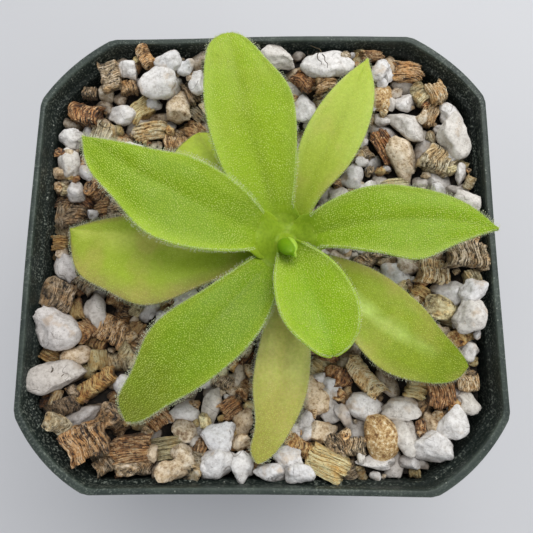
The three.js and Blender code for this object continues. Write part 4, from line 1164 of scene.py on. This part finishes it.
def gland_hairs(name, place, lean, reach, size):
    """A mesh of stalked glands: each a three-sided stalk with an eight-sided drop on its end."""
    place, lean, reach, size = place * MM, unit(lean), reach * MM, size * MM
    side = unit(np.cross(lean, np.where(np.abs(lean[:, 2:3]) < 0.9, [[0.0, 0, 1]], [[1.0, 0, 0]])))
    other = np.cross(lean, side)
    tip = place + lean * reach[:, None]
    corners = []
    for turn in (0, math.tau / 3, 2 * math.tau / 3):
        corners.append(place + (side * math.cos(turn) + other * math.sin(turn)) * size[:, None] * 0.45)
    corners.append(tip)
    for direction in (side, other, -side, -other, -lean, lean):
        corners.append(tip + direction * size[:, None])
    corners = np.stack(corners, 1)
    stalk = [(0, 1, 3), (1, 2, 3), (2, 0, 3)]
    drop = [(4, 5, 9), (5, 6, 9), (6, 7, 9), (7, 4, 9), (5, 4, 8), (6, 5, 8), (7, 6, 8), (4, 7, 8)]
    mesh = bpy.data.meshes.new(name)
    mesh.vertices.add(len(place) * 10)
    mesh.vertices.foreach_set("co", corners.reshape(-1))
    every = (np.array(stalk + drop)[None] + np.arange(len(place))[:, None, None] * 10).reshape(-1, 3)
    mesh.loops.add(every.size)
    mesh.loops.foreach_set("vertex_index", every.reshape(-1))
    mesh.polygons.add(len(every))
    mesh.polygons.foreach_set("loop_start", np.arange(len(every)) * 3)
    mesh.polygons.foreach_set("use_smooth", np.ones(len(every), bool))
    mesh.update()
    mesh.validate()
    hairs = bpy.data.objects.new(name, mesh)
    bpy.context.collection.objects.link(hairs)
    return hairs


# The drops are painted pale and opaque, a painted highlight for the light that clear slime catches; they are glossy
# as well.
slime = Finish("gland_drop", roughness=0.14, coat_weight=0.4)
slime.feed(base_color=slime.ramp(slime.noise(1.2), (0.35, (206, 224, 98)), (0.65, (230, 241, 142))))
hair = Finish("margin_hair", roughness=0.3)
hair.feed(base_color=hair.ramp(hair.noise(1.2), (0.35, (204, 213, 166)), (0.65, (236, 240, 214))))
# Moist green flesh lets a little light through.
FLESH = {"subsurface_weight": 0.25, "subsurface_radius": (0.5, 1.0, 0.15), "ior": 1.4}


def blended_to_heart(finish, colours):
    """The colours of a blade or of the heart, blended into the one green round the bud."""
    centred = {"Vector": finish.place, "Location": (-CROWN_X * MM, -CROWN_Y * MM, 0), "Scale": (1, 1, 0)}
    centred = finish.add("Mapping", centred).outputs["Vector"]
    away = finish.add("VectorMath", {0: centred}, operation="LENGTH").outputs["Value"]
    wander = finish.times(finish.maths("SUBTRACT", finish.noise(1.6), 0.5), 0.3)
    away = finish.plus(finish.maths("DIVIDE", away, 12 * MM), wander)
    return finish.mix(finish.ramp(away, (0.22, 0.9), (0.78, 0.0)), colours, (146, 172, 46))


def leaf_skin(name, leaf):
    """A leaf's moist green skin: stippled with glands, darker along the rib, paler and yellower towards its tip."""
    wet = {"specular_ior_level": 0.22, "coat_weight": 0.12, "coat_roughness": 0.32}
    skin = Finish(name, roughness=0.45, subsurface_scale=1.2 * MM, **wet, **FLESH)
    across, along, _ = skin.axes(skin.add("UVMap", uv_map="UVMap").outputs["UV"])
    off_rib = skin.maths("ABSOLUTE", skin.maths("SUBTRACT", skin.times(across, 2.0), 1.0))
    mottle = skin.noise(2.6, 4, 0.55)
    wander = skin.times(skin.maths("SUBTRACT", mottle, 0.5), 0.5)
    stops = (0.0, leaf["rib"]), (0.3, leaf["green"]), (0.62, leaf["green"]), (1.0, leaf["margin"])
    base = skin.ramp(skin.plus(off_rib, wander), *stops)
    base = skin.mix(skin.ramp(skin.plus(along, wander), *leaf["along"]), base, leaf["tinge"])
    aged = skin.times(skin.ramp(skin.noise(4, 3, 0.55), (0.48, 0.0), (0.64, 1.0)), leaf["aged"])
    base = blended_to_heart(skin, skin.mix(aged, base, (190, 176, 96)))
    # Painted highlights: pale dots between the glands, for more drops of slime catching the light.
    dots, _ = skin.cells(2600.0, 0.8)
    stipple = skin.times(skin.ramp(dots, (0.2, 1.0), (0.48, 0.0)), leaf["stipple"])
    base = skin.mix(stipple, base, (200, 222, 86))
    cells = skin.ramp(skin.noise(0.3, 3, 0.6), (0.35, (238, 241, 224)), (0.62, (255, 255, 255)))
    skin.feed(base_color=skin.tinted(base, cells), roughness=skin.ramp(mottle, (0.3, 0.4), (0.7, 0.54)))
    skin.bump(
        (skin.times(dots, -1.0), 0.4 * leaf["stipple"] + 0.1, 0.12),
        (skin.noise(0.35), 0.3, 0.12),
        (skin.noise(1.8), 0.3, 0.25),
    )
    return skin


for name, leaf in LEAVES.items():
    blade = leaf_blade("blade_" + name, leaf)
    blade.data.materials.append(leaf_skin("skin_" + name, leaf).material)
    face, rng = top_face(leaf), np.random.default_rng(int(leaf["turn"]) + 400)
    glands = gland_hairs("glands_" + name, *face_glands(leaf, *face, rng))
    glands.data.materials.append(slime.material)
    fringe = gland_hairs("fringe_" + name, *margin_fringe(leaf, *face, rng))
    fringe.data.materials.append(hair.material)
    for piece in (blade, glands, fringe):
        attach(piece, "root")
        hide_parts(name)


# ---- the heart of the rosette ----
# Round the growing point the leaf bases are joined into one smooth skin without glands, a shallow funnel
# that dips in round the bud. It runs out under the blades and covers the top of the crown.
HEART_REACH, HEART_CELLS = 6.8, 96
CELL = 2 * HEART_REACH / HEART_CELLS


def heart_cell(point):
    """The row and column of the skin's grid at a point in millimetres."""
    i, j = (point.x - CROWN_X) / CELL, (point.y - CROWN_Y) / CELL
    return round(i + HEART_CELLS / 2), round(j + HEART_CELLS / 2)


def blurred(heights, spread):
    """Heights evened out over a spread in millimetres."""
    reach = int(3 * spread / CELL) + 1
    weights = np.exp(-((np.arange(-reach, reach + 1) * CELL / spread) ** 2) / 2)
    weights /= weights.sum()

    def evened(line):
        return np.convolve(np.pad(line, reach, mode="edge"), weights, "valid")

    return np.apply_along_axis(evened, 1, np.apply_along_axis(evened, 0, heights))


def eased(values, low, high):
    share = np.clip((values - low) / (high - low), 0, 1)
    return share * share * (3 - 2 * share)


skin_height = np.full((HEART_CELLS + 1, HEART_CELLS + 1), -1.0)
skin_tint = np.tile(linear((120, 142, 22))[:3], (HEART_CELLS + 1, HEART_CELLS + 1, 1))
for name, leaf in LEAVES.items():
    if name == "leaf_front":
        continue
    end = 1.5 * HEART_REACH / (leaf["length"] * (1 + leaf["blunt"]))
    leaf_tint = 0.9 * np.array(linear(leaf["rib"])[:3]) + 0.1 * np.array(linear((210, 226, 110))[:3])
    for row in range(150):
        s = end * (row / 149 * 1.06 - 0.06)
        rib = midrib(leaf, s)
        for column in range(91):
            u = (column / 45 - 1) * 0.96
            point, normal = blade_point(leaf, s, u, rib)
            point += normal * (blade_thickness(leaf, s, u) / 2 - flattened(point, u))
            i, j = heart_cell(point)
            if 0 <= i <= HEART_CELLS and 0 <= j <= HEART_CELLS and point.z > skin_height[i, j]:
                skin_height[i, j], skin_tint[i, j] = point.z, leaf_tint
offsets = (np.arange(HEART_CELLS + 1) - HEART_CELLS / 2) * CELL
away = np.hypot(*np.meshgrid(offsets, offsets, indexing="ij"))
covered = skin_height > 0
skin_height = np.where(covered, skin_height, np.maximum(80.9 - 0.9 * np.maximum(away - 1.6, 0), 76.5))
skin_tint = np.stack([blurred(skin_tint[:, :, k], 0.5) for k in range(3)], 2)
close, wide = blurred(skin_height, 0.3), blurred(skin_height, 1.1)
outward = eased(away, 2.6, 6.0)
skin_height = wide * (1 - outward) + close * outward - 0.34 * eased(away, 4.4, 6.6)
skin_height += 0.25 - 0.5 * np.exp(-(((away - 1.9) / 0.7) ** 2)) - 0.25 * eased(away, 2, 4)

heart = started(
    "heart_of_rosette",
    bpy.ops.mesh.primitive_grid_add,
    x_subdivisions=HEART_CELLS,
    y_subdivisions=HEART_CELLS,
    size=2 * HEART_REACH * MM,
    location=(CROWN_X * MM, CROWN_Y * MM, 0),
)
tint = heart.data.attributes.new("tint", "FLOAT_COLOR", "POINT")
for vertex in heart.data.vertices:
    i, j = heart_cell(vertex.co / MM)
    vertex.co.z = skin_height[i, j] * MM
    vertex.select = bool(away[i, j] > HEART_REACH - 0.1 or (away[i, j] > 4.6 and not covered[i, j]))
    tint.data[vertex.index].color = (*skin_tint[i, j], 1)
for edge in heart.data.edges:
    edge.select = all(heart.data.vertices[i].select for i in edge.vertices)
for face in heart.data.polygons:
    face.select = all(heart.data.vertices[i].select for i in face.vertices)
bpy.ops.object.mode_set(mode="EDIT")
bpy.ops.mesh.select_mode(type="VERT")
bpy.ops.mesh.delete(type="VERT")
bpy.ops.object.mode_set(mode="OBJECT")
apply_modifier(heart, "SOLIDIFY", thickness=0.5 * MM, offset=-1)
apply_modifier(heart, "SMOOTH", factor=0.5, iterations=3)
bpy.ops.object.shade_smooth()

heart_skin = Finish("heart_skin", roughness=0.45, specular_ior_level=0.28, subsurface_scale=1.2 * MM, **FLESH)
cells = heart_skin.ramp(heart_skin.noise(0.3, 3, 0.6), (0.35, (230, 234, 212)), (0.62, (255, 255, 255)))
base = blended_to_heart(heart_skin, heart_skin.attribute("tint", "Color"))
heart_skin.feed(base_color=heart_skin.tinted(base, cells))
heart_skin.bump((heart_skin.noise(0.35), 0.3, 0.12))
heart.data.materials.append(heart_skin.material)
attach(heart, "root")
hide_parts("crown")


# ---- the bud ----
# The next leaf, still rolled into a smooth pointed scroll with one margin lapped over the other. It leans
# out over the heart of the rosette.
BUD_X, BUD_Y, BUD_FOOT, BUD_HEIGHT, BUD_GIRTH = 4.6, 0.45, 80.6, 6.4, 0.9
bud_foot = [(0.4, 0.0), (1.0, 0.15), (1.3, 0.8), (1.5, 1.4), (1.64, 2.1), (1.72, 2.8), (1.74, 3.5), (1.68, 4.1)]
bud_tip = [(1.55, 4.7), (1.33, 5.2), (1.05, 5.65), (0.7, 6.0), (0.35, 6.25), (0.12, 6.34)]
bud = ring_raised("bud_scroll", 72, [(half * BUD_GIRTH, height) for half, height in bud_foot + bud_tip])
apply_modifier(bud, "SUBSURF", levels=1, render_levels=1)
lapped = bud.data.attributes.new("lapped", "FLOAT", "POINT")
for vertex in bud.data.vertices:
    x, y, z = vertex.co / MM
    rise = min(max(z / BUD_HEIGHT, 0), 1)
    # The lapped margin runs up the right side and ends in the point.
    seam = 0.95 - 0.33 * y * y if y > 0 else 0.95 + 0.4 * y
    lap = smooth_step(x, seam - 0.06, seam + 0.02) * smooth_step(rise, 0.15, 0.5)
    point = math.exp(-(((math.atan2(y, x) + 0.95) / 0.24) ** 2)) * smooth_step(rise, 0.45, 0.75)
    swell = 1 + 0.1 * lap + 0.5 * point * smooth_step(math.hypot(x, y), 0.5, 1.2)
    lapped.data[vertex.index].value = lap
    x, y, z = x * swell, y * swell, z + 0.22 * lap
    lean = rise**1.6
    vertex.co = Vector((BUD_X + 1.06 * x + 0.9 * lean, BUD_Y + 0.94 * y - 2.5 * lean, BUD_FOOT + z)) * MM
bpy.ops.object.shade_smooth()

bud_skin = Finish("bud_skin", roughness=0.4, specular_ior_level=0.35, subsurface_scale=1.0 * MM, **FLESH)
rolled = bud_skin.ramp(bud_skin.noise(1.6), (0.35, (104, 146, 12)), (0.65, (124, 162, 22)))
bud_skin.feed(base_color=bud_skin.mix(bud_skin.attribute("lapped"), rolled, (172, 206, 76)))
bud_skin.bump((bud_skin.noise(0.25), 0.3, 0.08))
bud.data.materials.append(bud_skin.material)
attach(bud, "root")
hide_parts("bud")


# ---- the table and the light ----
# The pot stands on a plain pale table under a large soft light, with a weaker one from the side and an
# even, faintly blue light from all round.
table_top = started("table_top", bpy.ops.mesh.primitive_plane_add, size=4)
paint = Finish("table_paint", roughness=0.75)
paint.feed(base_color=paint.ramp(paint.noise(60), (0.3, (206, 207, 210)), (0.7, (210, 211, 214))))
table_top.data.materials.append(paint.material)

bpy.ops.object.light_add(type="AREA", location=(0.12, 0.25, 0.48), rotation=(math.radians(-28), math.radians(12), 0))
overhead = bpy.context.object
overhead.data.size, overhead.data.energy, overhead.data.color = 0.4, 1.85, (1.0, 0.99, 0.97)
bpy.ops.object.light_add(type="AREA", location=(0.45, -0.35, 0.5), rotation=(math.radians(42), math.radians(40), 0))
side_fill = bpy.context.object
side_fill.data.size, side_fill.data.energy = 0.5, 0.5
bpy.context.scene.world = bpy.data.worlds.new("studio")
bpy.context.scene.world.use_nodes = True
sky = bpy.context.scene.world.node_tree.nodes["Background"]
sky.inputs["Color"].default_value = (0.94, 0.96, 1.0, 1)
sky.inputs["Strength"].default_value = 0.55
bpy.context.scene.view_settings.view_transform = "Standard"
